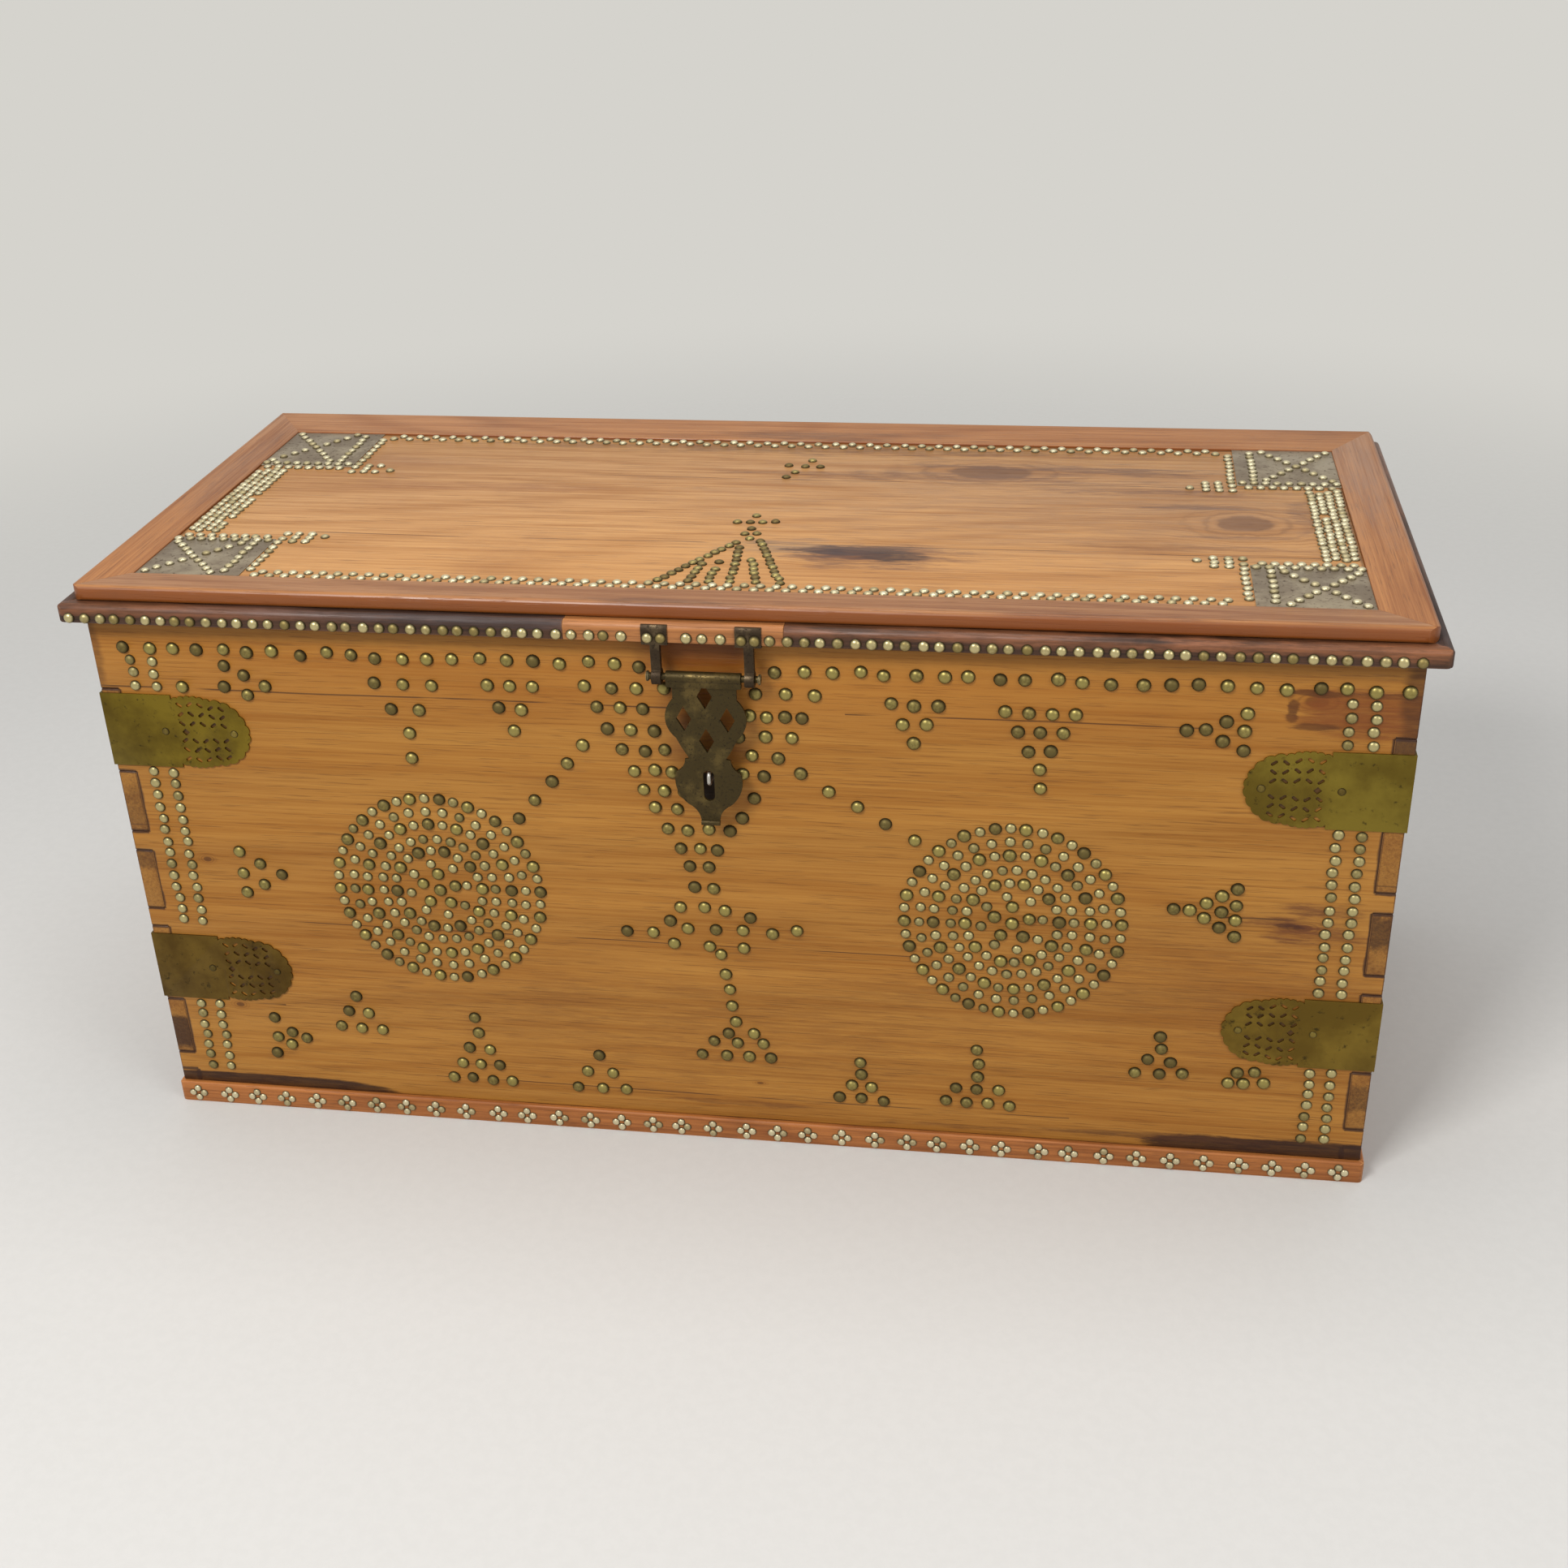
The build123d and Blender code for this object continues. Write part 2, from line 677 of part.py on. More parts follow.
# Staple: a U of iron rod driven into the front board behind the hasp's slot.
staple_top = slot_z + slot_height / 2 - staple_below_slot_top - staple_rod / 2
staple_foot = staple_top - staple_height + staple_rod
staple_crown = hasp_off_board + hasp_thickness / 2 + staple_past_hasp - staple_rod / 2
with BuildPart() as hasp_staple:
    with BuildLine(Plane(origin=(hasp_x, -half_depth, 0), x_dir=(0, -1, 0), z_dir=(-1, 0, 0))) as staple_path:
        FilletPolyline(
            (-staple_in_board, staple_top),
            (staple_crown, staple_top),
            (staple_crown, staple_foot),
            (-staple_in_board, staple_foot),
            radius=staple_bend,
        )
    with BuildSketch(Plane(origin=staple_path.line @ 0, z_dir=staple_path.line % 0)):
        Circle(staple_rod / 2)
    sweep()
write(hasp_staple, "hasp_staple")

# ======================================================================
# End handles: a drop bail in two lugs on each end board
# ======================================================================
for hand_name, hand in (("left", -1), ("right", 1)):
    handle_x = hand * (half_width + handle_off_board)
    with BuildPart() as handle_lugs:
        for lug_side in (-1, 1):
            lug_y = lug_side * handle_lug_spacing / 2
            with Locations(Location((hand * (half_width + lug_base_thickness / 2), lug_y, handle_z), (0, 90, 0))):
                Cylinder(lug_base_radius, lug_base_thickness)
            with Locations((hand * (half_width + handle_off_board / 2), lug_y, handle_z)):
                Box(handle_off_board, lug_width, 2 * lug_radius)
            with Locations(Location((handle_x, lug_y, handle_z), (90, 0, 0))):
                Cylinder(lug_radius, lug_width)
                Cylinder(handle_rod_radius + lug_clearance, 2 * lug_width, mode=Mode.SUBTRACT)
    write(handle_lugs, f"{hand_name}_handle_lugs")

    bail_half = handle_lug_spacing / 2 + bail_overlap
    trunnion_end = handle_lug_spacing / 2 - trunnion_inside
    with BuildPart() as bail:
        with BuildLine(Plane(origin=(handle_x, 0, handle_z), x_dir=(0, 1, 0), z_dir=(1, 0, 0))) as bail_path:
            FilletPolyline(
                (-trunnion_end, 0),
                (-bail_half, 0),
                (-bail_half, -bail_drop),
                (bail_half, -bail_drop),
                (bail_half, 0),
                (trunnion_end, 0),
                radius=[trunnion_bend, bail_bend, bail_bend, trunnion_bend],
            )
        with BuildSketch(Plane(origin=bail_path.line @ 0, z_dir=bail_path.line % 0)):
            Circle(handle_rod_radius)
        sweep()
    write(bail, f"{hand_name}_bail")


# ======================================================================
# Studs: domed nails, set by hand along the marks of each motif
# ======================================================================
def stud_shape(size):
    """One domed nail, head on z = 0 and above, shank below."""
    dome_radius, dome_height, shank_radius, shank_length = size
    ball_radius = (dome_radius**2 + dome_height**2) / (2 * dome_height)
    half_turn = asin(dome_radius / ball_radius) / 2
    with BuildPart() as nail:
        with BuildSketch(Plane.XZ):
            with BuildLine():
                Polyline(
                    (0, dome_height),
                    (0, -shank_length),
                    (shank_radius, -shank_length),
                    (shank_radius, 0),
                    (dome_radius, 0),
                )
                ThreePointArc(
                    (dome_radius, 0),
                    (
                        ball_radius * sin(half_turn),
                        dome_height - ball_radius * (1 - cos(half_turn)),
                    ),
                    (0, dome_height),
                )
            make_face()
        revolve(axis=Axis.Z)
    return nail.part


def studs(size, places):
    """A group of separate nails at the given locations, whose local z points out of the wood."""
    nail = stud_shape(size)
    with BuildPart() as group:
        with Locations(*places):
            add(nail, clean=False)
    return group


front_heads = []  # (x, z, radius) of every head on the front board


def on_strap(x, z, radius):
    """True where a head would lie on one of the brass straps."""
    reach = half_width - abs(x) - radius
    if reach > strap_reach:
        return False
    half = strap_height / 2 if reach < strap_plain else leaf_half_height(reach) + scallop
    return any(side * x > 0 and abs(z - middle) < half + radius for side, middle in strap_places.values())


def front_marks(size, marks, stray, seed):
    """Locations on the front board, leaving out a mark whose head would touch another."""
    hand = random.Random(seed)
    places = []
    for mark_x, mark_z in marks:
        x = mark_x + hand.uniform(-stray, stray)
        z = mark_z + hand.uniform(-stray, stray)
        radius = size[0]
        touches = any((x - a) ** 2 + (z - b) ** 2 < (radius + r + head_gap) ** 2 for a, b, r in front_heads)
        if not touches and not on_strap(x, z, radius):
            front_heads.append((x, z, radius))
            places.append(Location((x, -half_depth, z), (90, 0, 0)))
    return places


def row(start_x, z, count, pitch):
    """Marks in a level row."""
    return [(start_x + number * pitch, z) for number in range(count)]


def triangle(tip_x, tip_z, counts, pitch, step, turn):
    """Rows of studs that widen from a tip. turn is the way from the tip to the widest row."""
    marks = []
    ahead = Vector(cos(radians(turn)), sin(radians(turn)))
    across = Vector(-ahead.Y, ahead.X)
    for line, count in enumerate(counts):
        for number in range(count):
            shift = ahead * (line * step) + across * ((number - (count - 1) / 2) * pitch)
            marks.append((tip_x + shift.X, tip_z + shift.Y))
    return marks


def column(x, top_z, foot_z, pitch):
    """Marks in an upright line."""
    return [(x, top_z - number * pitch) for number in range(int((top_z - foot_z) / pitch) + 1)]


# The staple's legs keep studs off the board behind the slot.
for staple_leg_z in (staple_top, staple_foot):
    front_heads.append((hasp_x, staple_leg_z, staple_rod))

# Top row, broken where the hasp hangs.
top_row_z = joint_z - 29.0
top_row_first, top_row_last = -half_width + 29.0, half_width - 12.0
top_row_count = 48
top_row_pitch = (top_row_last - top_row_first) / (top_row_count - 1)
hasp_gap = eye_spacing / 2 + 8.0
top_row = [
    (x, z)
    for x, z in row(top_row_first, top_row_z, top_row_count, top_row_pitch)
    if abs(x - hasp_x) > hasp_gap
]
write(studs(large_stud, front_marks(large_stud, top_row, 2.2, 11)), "top_row_studs")

# The great V round the hasp, the spread below it and the stem down to its foot.
# Each row is (first stud, height, count, spacing).
v_rows = [
    (-121, 466, 4, 23),
    (-112, 447, 3, 20.5),
    (-103, 426, 3, 20.5),
    (-92, 408, 3, 19),
    (-83, 388, 3, 17),
    (-75, 370, 3, 17),
    (-66, 352, 2, 19),
    (-57, 332, 4, 18),
    (-46, 313, 3, 16.5),
    (-39, 295, 2, 16),
    (-35, 273, 2, 16),
    (26, 465, 3, 25),
    (20, 444, 4, 15),
    (10, 424, 3, 22.5),
    (21, 406, 2, 22),
    (11, 388, 2, 20),
    (20, 366, 1, 0),
    (10, 347, 1, 0),
    (-49, 252, 3, 19.5),
    (13, 244, 1, 0),
    (-61, 237, 1, 0),
    (-44, 230, 4, 25),
    (-100, 223, 2, 24),
    (-58, 213, 3, 32),
    (-16, 204, 1, 0),
    (55, 233, 1, 0),
    (-12, 184, 1, 0),
    (-9, 166, 1, 0),
    (-8, 149, 1, 0),
    (-6, 131, 1, 0),
    (-13, 119, 2, 24),
    (-27, 109, 3, 23),
    (-37, 93, 4, 21),
]
v_marks = [mark for start_x, z, count, pitch in v_rows for mark in row(start_x, z, count, pitch)]
diagonals = [(-190 + number * 16, 336 + number * 18.5) for number in range(5)]
diagonals += [(158 - number * 24, 332 + number * 14.8) for number in range(5)]
write(studs(large_stud, front_marks(large_stud, v_marks + diagonals, scatter, 12)), "v_motif_studs")

# Triangles along the top, the ends and the foot of the front: tip, rows, spacings, direction.
RISING, SINKING, TO_RIGHT, TO_LEFT = 90, 270, 0, 180
triangles = [
    (-281, 390, (1, 1, 2, 3), 25, 24, RISING),
    (-187, 421, (1, 2, 3), 20, 21, RISING),
    (158, 424, (1, 2, 3), 20, 18, RISING),
    (262, 387, (1, 1, 2, 3, 4), 19, 17.5, RISING),
    (378, 447, (1, 1, 2, 3), 16, 15.7, TO_RIGHT),
    (380, 276, (1, 1, 2, 3, 4), 15.5, 13, TO_RIGHT),
    (-421, 264, (1, 2, 3), 21, 18, TO_LEFT),
    (-367, 134, (1, 2, 3), 20, 18, SINKING),
    (-253, 118, (1, 1, 2, 3, 4), 18.5, 17.5, SINKING),
    (-137, 84, (1, 2, 3), 24, 18.5, SINKING),
    (110, 96, (1, 1, 2, 3), 20, 14, SINKING),
    (216, 118, (1, 1, 1, 3, 4), 19, 15, SINKING),
    (377, 144, (1, 1, 2, 3), 20, 13, SINKING),
]
triangle_marks = [mark for each in triangles for mark in triangle(*each)]
# Loose groups near the corners.
triangle_marks += [(-442, 472), (-424, 464), (-407, 454), (-423, 445), (-443, 453), (-484, 451)]
triangle_marks += [(-453, 103), (-438, 89), (-452, 82), (-424, 81), (-440, 73), (-458, 63)]
triangle_marks += [(444, 110), (460, 113), (438, 98), (451, 100), (469, 101)]
write(studs(large_stud, front_marks(large_stud, triangle_marks, scatter, 13)), "triangle_studs")

# Two upright double lines of small studs at each end, broken by the straps.
column_pitch = 12.0
strap_margin = strap_height / 2 + 6.0
line_spacing = 19.0
column_marks = []
for hand, upper_z in ((-1, strap_upper_left_z), (1, strap_upper_right_z)):
    for line_x in (half_width - 34.0, half_width - 34.0 - line_spacing):
        spans = [
            (top_row_z - 12.0, upper_z + strap_margin),
            (upper_z - strap_margin, strap_lower_z + strap_margin),
            (strap_lower_z - strap_margin, plinth_height + 10.0),
        ]
        for span_top, span_foot in spans:
            column_marks += column(hand * line_x, span_top, span_foot, column_pitch)
write(studs(column_stud, front_marks(column_stud, column_marks, 0.9, 14)), "column_studs")

# Roundels: rings round a centre stud. Each ring is (radius, count, large every so many).
roundel_radius = 94.0
roundel_left = (-272.0, 257.0)
roundel_right = (243.0, 254.0)
rings = [
    (roundel_radius, 44, 2),
    (roundel_radius - 13.5, 32, 0),
    (roundel_radius - 26.0, 32, 2),
    (roundel_radius - 41.0, 26, 0),
    (roundel_radius - 53.5, 20, 2),
    (roundel_radius - 67.0, 8, 0),
    (roundel_radius - 78.0, 5, 1),
]
roundel_large = []
roundel_small = []
for centre_x, centre_z in (roundel_left, roundel_right):
    roundel_large.append((centre_x, centre_z))
    for ring_radius, ring_count, large_every in rings:
        for number in range(ring_count):
            angle = 2 * pi * (number + 0.25) / ring_count
            mark = (centre_x + ring_radius * cos(angle), centre_z + ring_radius * sin(angle))
            is_large = large_every and number % large_every == 0
            (roundel_large if is_large else roundel_small).append(mark)
write(studs(large_stud, front_marks(large_stud, roundel_large, 0.6, 15)), "roundel_large_studs")
write(studs(small_stud, front_marks(small_stud, roundel_small, 0.5, 16)), "roundel_small_studs")

# Lip studs, one line along the lip's face, with two on the iron of each eye.
lip_stud_pitch = 13.8
lip_stud_z = joint_z + lip_face / 2
lip_run = half_width + lip_projection - lip_corner_round - lip_stud[0]
lip_places = []
lip_hand = random.Random(17)
for number in range(int(2 * lip_run / lip_stud_pitch) + 1):
    x = -lip_run + number * lip_stud_pitch + lip_hand.uniform(-1.0, 1.0)
    off_eye = abs(abs(x - hasp_x) - eye_spacing / 2)
    if off_eye > eye_plate_width / 2 + lip_stud[0]:
        lip_places.append(Location((x, -lip_outer_y, lip_stud_z), (90, 0, 0)))
for eye_side in (-1, 1):
    for plate_side in (-1, 1):
        x = hasp_x + eye_side * eye_spacing / 2 + plate_side * eye_plate_width / 4
        lip_places.append(Location((x, -lip_outer_y - eye_plate_thickness, lip_stud_z), (90, 0, 0)))
write(studs(lip_stud, lip_places), "lip_studs")

# Plinth studs: a lozenge of four, repeated along the front.
plinth_stud_pitch = 30.2
lozenge_half = (5.6, 5.2)
plinth_run = half_width - 16.0
plinth_marks = []
plinth_hand = random.Random(18)
plinth_groups = int(2 * plinth_run / plinth_stud_pitch) + 1
for number in range(plinth_groups):
    centre = -plinth_run + number * plinth_stud_pitch + plinth_hand.uniform(-2.0, 2.0)
    for step_x, step_z in ((1, 0), (-1, 0), (0, 1), (0, -1)):
        x = centre + step_x * lozenge_half[0]
        z = plinth_height / 2 - 0.6 + step_z * lozenge_half[1]
        plinth_marks.append(Location((x, -half_depth - plinth_projection, z), (90, 0, 0)))
write(studs(plinth_stud, plinth_marks), "plinth_studs")

# Lid field: border rows, bands at both ends, corner plates and the fan in the middle.
lid_heads = []


def lid_marks(size, marks, height, stray, seed):
    """Locations on the lid, leaving out a mark whose head would touch another."""
    hand = random.Random(seed)
    places = []
    for mark_x, mark_y in marks:
        x = mark_x + hand.uniform(-stray, stray)
        y = mark_y + hand.uniform(-stray, stray)
        if all((x - a) ** 2 + (y - b) ** 2 > (size[0] + r + head_gap) ** 2 for a, b, r in lid_heads):
            lid_heads.append((x, y, size[0]))
            places.append(Location((x, y, height)))
    return places


plate_edge_x = field_half_width - plate_length
plate_pitch = 10.6
plate_margin = 4.5  # from a stud's middle to the edge of its plate
diagonal_count = 9
on_plates = []
beside_plates = []
for end_name, hand_y in (("front", -1), ("back", 1)):
    plate_edge_y = field_edge_y[end_name] - hand_y * plate_depths[end_name]
    rows_in_depth = int((plate_depths[end_name] - 2 * plate_margin) / plate_pitch)
    for hand_x in (-1, 1):
        # Marks are (from the plate's inner edge towards the end, and towards the front or rear).
        on_plate = [(5 + number * plate_pitch, 5) for number in range(9)]
        on_plate += [(16, 15 + number * plate_pitch) for number in range(rows_in_depth)]
        beside_plate = [(-5, number * plate_pitch - 2) for number in range(rows_in_depth + 1)]
        beside_plate += [(number * plate_pitch, -5) for number in range(9)]
        low_x, high_x = 27.0, plate_length - 7
        low_y, high_y = 14.0, plate_depths[end_name] - 7
        for number in range(diagonal_count):
            share = number / (diagonal_count - 1)
            across = low_x + share * (high_x - low_x)
            on_plate.append((across, low_y + share * (high_y - low_y)))
            on_plate.append((across, high_y - share * (high_y - low_y)))
        # The tail: three short files and one stud at the tip, pointing inward.
        beside_plate += [(-5 - file * 12, rank * 9 - 14) for file in range(3) for rank in range(3)]
        beside_plate.append((-43, -9))
        for marks, own in ((on_plates, on_plate), (beside_plates, beside_plate)):
            marks += [(hand_x * (plate_edge_x + x), plate_edge_y + hand_y * y) for x, y in own]

border_reach = plate_edge_x - 14.0
border_marks = []
front_border_pitch = 13.6
for number in range(int(2 * border_reach / front_border_pitch) + 1):
    x = -border_reach + number * front_border_pitch
    border_marks.append((x, field_edge_y["front"] + 5.0))
    border_marks.append((x + front_border_pitch / 3, field_edge_y["front"] + 13.2))
back_border_pitch = 8.6
for number in range(int(2 * border_reach / back_border_pitch) + 1):
    zigzag = 6.0 if number % 2 else 13.5
    border_marks.append((-border_reach + number * back_border_pitch, field_edge_y["back"] - zigzag))
band_start = field_edge_y["front"] + plate_depths["front"] + 12.0
band_end = field_edge_y["back"] - plate_depths["back"] - 12.0
band_pitch = 9.2
band_file = 8.0
for hand_x in (-1, 1):
    for file in range(4):
        for number in range(int((band_end - band_start) / band_pitch) + 1):
            y = band_start + number * band_pitch + (band_pitch / 2 if file % 2 else 0)
            border_marks.append((hand_x * (field_half_width - 6.0 - file * band_file), y))

write(
    studs(lid_stud, lid_marks(lid_stud, on_plates, lid_board_top + plate_thickness, 0.5, 21)),
    "lid_plate_studs",
)
write(
    studs(lid_stud, lid_marks(lid_stud, beside_plates + border_marks, lid_board_top, 0.6, 22)),
    "lid_border_studs",
)

# The fan: six lines that meet at a neck, a cross above it and a small spray near the rear.
fan_pitch = 8.8
fan_lines = [
    ((-64.0, -191.0), (-12.0, -100.0)),
    ((-38.0, -190.0), (-28.0, -124.0)),
    ((-20.0, -190.0), (-18.0, -146.0)),
    ((-2.0, -190.0), (-6.0, -112.0)),
    ((20.0, -190.0), (9.0, -140.0)),
    ((41.0, -190.0), (9.0, -95.0)),
]
fan_marks = []
for (foot_x, foot_y), (end_x, end_y) in fan_lines:
    steps = int(((end_x - foot_x) ** 2 + (end_y - foot_y) ** 2) ** 0.5 / fan_pitch)
    for number in range(steps + 1):
        share = number / steps
        fan_marks.append((foot_x + share * (end_x - foot_x), foot_y + share * (end_y - foot_y)))
fan_marks += [(-1.0, -89.0), (-8.0, -78.0), (3.0, -77.0), (-3.0, -65.0)]
fan_marks += [(-19.0, -49.0), (-8.0, -48.0), (3.0, -47.0), (15.0, -46.0), (-4.0, -32.0)]
fan_marks += [(7.0, 75.0), (13.0, 90.0), (21.0, 106.0), (5.0, 108.0), (36.0, 106.0), (26.0, 124.0)]
write(studs(lid_stud, lid_marks(lid_stud, fan_marks, lid_board_top, 0.8, 23)), "lid_fan_studs")

# Nails through the straps, on the front and on the ends.
strap_nail_places = []
for strap_side, strap_z in strap_places.values():
    for reach in strap_nail_reaches:
        on_front = (strap_side * (half_width - reach), -half_depth - strap_thickness, strap_z)
        on_end = (strap_side * (half_width + strap_thickness), -half_depth + reach, strap_z)
        strap_nail_places.append(Location(on_front, (90, 0, 0)))
        strap_nail_places.append(Location(on_end, (0, 90 * strap_side, 0)))
write(studs(nail_stud, strap_nail_places), "strap_nails")

# Nails through the hinge leaves, into the back board and up into the lid.
case_nail_places = []
lid_nail_places = []
for hinge_centre in (-hinge_x, hinge_x):
    for across in (-hinge_width / 3, hinge_width / 3):
        lid_nail_y = inner_half_depth - 2 * nail_stud[0]
        lid_nail_places.append(Location((hinge_centre + across, lid_nail_y, joint_z), (180, 0, 0)))
        for drop in (0.36, 0.82):
            nail_z = joint_z - drop * hinge_leaf_drop
            case_nail_places.append(
                Location((hinge_centre + across, half_depth + hinge_leaf, nail_z), (-90, 0, 0))
            )
write(studs(nail_stud, case_nail_places), "case_hinge_nails")
write(studs(nail_stud, lid_nail_places), "lid_hinge_nails")
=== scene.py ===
# %% [markdown]
# # A studded dowry chest
# The chest is a low box of oiled teak on a plinth, with a framed lid that turns on two hinges at the
# back. Brass nails cover it in rows, roundels and fans, four brass straps hold the front corners, and
# a pierced hasp hangs from the lid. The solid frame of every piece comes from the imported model, so
# this lesson only dresses it: softer edges, better nails, old wood and old metal.

# %% Load the frame
import json
import math

import bmesh
import bpy
import numpy as np
from mathutils import Matrix, Vector


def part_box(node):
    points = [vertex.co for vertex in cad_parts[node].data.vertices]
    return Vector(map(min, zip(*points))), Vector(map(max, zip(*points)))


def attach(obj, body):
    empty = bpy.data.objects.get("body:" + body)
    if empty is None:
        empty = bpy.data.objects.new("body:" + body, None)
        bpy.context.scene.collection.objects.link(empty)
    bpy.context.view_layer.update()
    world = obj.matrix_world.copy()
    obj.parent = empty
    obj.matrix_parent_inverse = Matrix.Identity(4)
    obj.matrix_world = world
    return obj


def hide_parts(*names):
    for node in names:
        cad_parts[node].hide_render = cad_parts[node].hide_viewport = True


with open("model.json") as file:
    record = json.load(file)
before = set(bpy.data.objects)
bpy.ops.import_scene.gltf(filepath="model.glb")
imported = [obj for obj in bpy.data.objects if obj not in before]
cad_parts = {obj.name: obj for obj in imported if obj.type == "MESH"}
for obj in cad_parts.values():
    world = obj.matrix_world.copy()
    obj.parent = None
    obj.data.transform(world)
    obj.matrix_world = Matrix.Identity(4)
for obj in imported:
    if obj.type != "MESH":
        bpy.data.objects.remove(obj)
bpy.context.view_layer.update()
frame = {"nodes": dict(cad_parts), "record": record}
nodes = frame["nodes"]
body_of_node = {
    node: body for body, held in frame["record"]["behaviour"]["bodies"].items() for node in held
}

# %% [markdown]
# Materials here are node trees, and trees are long to write by hand. A small helper keeps each line
# to one idea: it adds a node, sets what is a number and links what is a socket. The same helper
# serves shader trees and geometry trees.


# %% A helper that wires nodes
nodes_in_row, node_spacing = 12, (220, 260)


class Wires:
    """Adds nodes to a tree. An input given as a socket is linked, and any other value is set."""

    def __init__(self, tree):
        self.tree = tree

    def add(self, kind, settings=None, **inputs):
        node = self.tree.nodes.new(kind)
        row, column = divmod(len(self.tree.nodes), nodes_in_row)
        node.location = (column * node_spacing[0], -row * node_spacing[1])
        for name, value in (settings or {}).items():
            setattr(node, name, value)
        return self.feed(node, **inputs)

    def feed(self, node, **inputs):
        """Link or set inputs by name, with an underscore for each space."""
        for name, value in inputs.items():
            wanted = name.replace("_", " ").lower()
            self.put(next(s for s in node.inputs if s.enabled and s.name.lower() == wanted), value)
        return node

    def put(self, socket, value):
        if isinstance(value, bpy.types.NodeSocket):
            self.tree.links.new(value, socket)
        else:
            socket.default_value = value

    def fill(self, node, values):
        """Link or set the first inputs of a node, in their order."""
        for socket, value in zip(node.inputs, values):
            self.put(socket, value)
        return node

    def math(self, operation, *values):
        return self.fill(self.add("ShaderNodeMath", {"operation": operation}), values).outputs[0]

    def times(self, first, second):
        return self.math("MULTIPLY", first, second)

    def over(self, first, second):
        return self.math("DIVIDE", first, second)

    def plus(self, first, second):
        return self.math("ADD", first, second)

    def minus(self, first, second):
        return self.math("SUBTRACT", first, second)

    def times_plus(self, first, second, third):
        return self.math("MULTIPLY_ADD", first, second, third)

    def vector(self, operation, *values):
        node = self.fill(self.add("ShaderNodeVectorMath", {"operation": operation}), values)
        return node.outputs["Value" if operation == "LENGTH" else "Vector"]

    def stretched(self, vector, *factors):
        return self.vector("MULTIPLY", vector, factors)

    def scaled(self, vector, factor):
        node = self.vector("SCALE", vector).node
        return self.feed(node, Scale=factor).outputs["Vector"]

    def split(self, vector):
        """The x, y and z sockets of a vector."""
        return self.add("ShaderNodeSeparateXYZ", Vector=vector).outputs

    def joined(self, x, y, z):
        return self.add("ShaderNodeCombineXYZ", X=x, Y=y, Z=z).outputs[0]

    def attribute(self, name):
        return self.add("ShaderNodeAttribute", {"attribute_name": name}).outputs["Fac"]

    def noise(self, vector, scale=1.0, detail=2.0, roughness=0.5):
        node = self.add(
            "ShaderNodeTexNoise", Vector=vector, Scale=scale, Detail=detail, Roughness=roughness
        )
        return node.outputs[0]

    def grain_noise(self, vector, along, across, **detail):
        """Noise with its own scale along the first axis, where the grain runs, and across it."""
        return self.noise(self.stretched(vector, along, across, across), **detail)

    def between(self, value, low, high, to_low=0.0, to_high=1.0):
        """0 below low and 1 above high, with a soft step between them."""
        node = self.add("ShaderNodeMapRange", {"interpolation_type": "SMOOTHSTEP"})
        return self.fill(node, (value, low, high, to_low, to_high)).outputs[0]

    def fading(self, value, low, high):
        """1 below low and 0 above high."""
        return self.between(value, low, high, 1.0, 0.0)

    def blend(self, share, first, second):
        """Colour that is first where share is 0 and second where it is 1."""
        node = self.add("ShaderNodeMix", {"data_type": "RGBA"}, Factor=share, A=first, B=second)
        return enabled_output(node)


def enabled_output(node):
    return next(s for s in node.outputs if s.enabled)


def new_object(name, data):
    """An object that is linked to the scene."""
    thing = bpy.data.objects.new(name, data)
    bpy.context.collection.objects.link(thing)
    return thing


def rgb(red, green, blue):
    """A colour seen on screen as red, green, blue from 0 to 255, as the shader wants it."""
    channels = [value / 255 for value in (red, green, blue)]
    return (*[c / 12.92 if c <= 0.04045 else ((c + 0.055) / 1.055) ** 2.4 for c in channels], 1.0)


def shader_group(name, outputs, **inputs):
    """An empty shader group with named sockets. Returns its wires, its inputs and its exit node."""
    group = bpy.data.node_groups.new(name, "ShaderNodeTree")
    for socket_name, value in inputs.items():
        size = len(value) if isinstance(value, tuple) else 1
        kind = {1: "NodeSocketFloat", 3: "NodeSocketVector", 4: "NodeSocketColor"}[size]
        socket_name = socket_name.replace("_", " ")
        socket = group.interface.new_socket(socket_name, in_out="INPUT", socket_type=kind)
        socket.default_value = value
    kinds = {"Vector": "NodeSocketVector", "Color": "NodeSocketColor"}
    for socket_name in outputs:
        kind = kinds.get(socket_name, "NodeSocketFloat")
        group.interface.new_socket(socket_name, in_out="OUTPUT", socket_type=kind)
    wires = Wires(group)
    return wires, wires.add("NodeGroupInput").outputs, wires.add("NodeGroupOutput")


print("helper ready")

# %% [markdown]
# Teak cut along the trunk shows three things at three sizes: broad bands of lighter and darker wood,
# narrow streaks, and dark pores like short pencil strokes. All run along the grain, so the group
# stretches its noise along its first axis. A material turns its board's axes so that the first one
# lies along the grain before it calls the group.

# %% Wood figure group
wires, given, made = shader_group(
    "Wood figure",
    ("Color", "Height", "Tone"),
    Vector=(0, 0, 0),
    Light=rgb(190, 135, 75),
    Dark=rgb(140, 90, 45),
    Pore=rgb(80, 48, 25),
    Seed=0.0, Contrast=1.0, Coarseness=1.0,
)
seeded = wires.scaled((3.1, 1.7, 0.9), given["Seed"])
place = wires.vector("ADD", given["Vector"], seeded)
sized = wires.scaled(place, wires.over(1.0, given["Coarseness"]))
broad = wires.grain_noise(sized, 1.0, 8.0, detail=3.0)
field = wires.grain_noise(sized, 0.55, 3.6, detail=1.5)
turns = wires.times_plus(field, 110.0, wires.times(broad, 6.0))
rings = wires.math("POWER", wires.times_plus(wires.math("SINE", turns), 0.5, 0.5), 3.0)
streaks = wires.grain_noise(sized, 2.6, 110.0, detail=4.0, roughness=0.6)
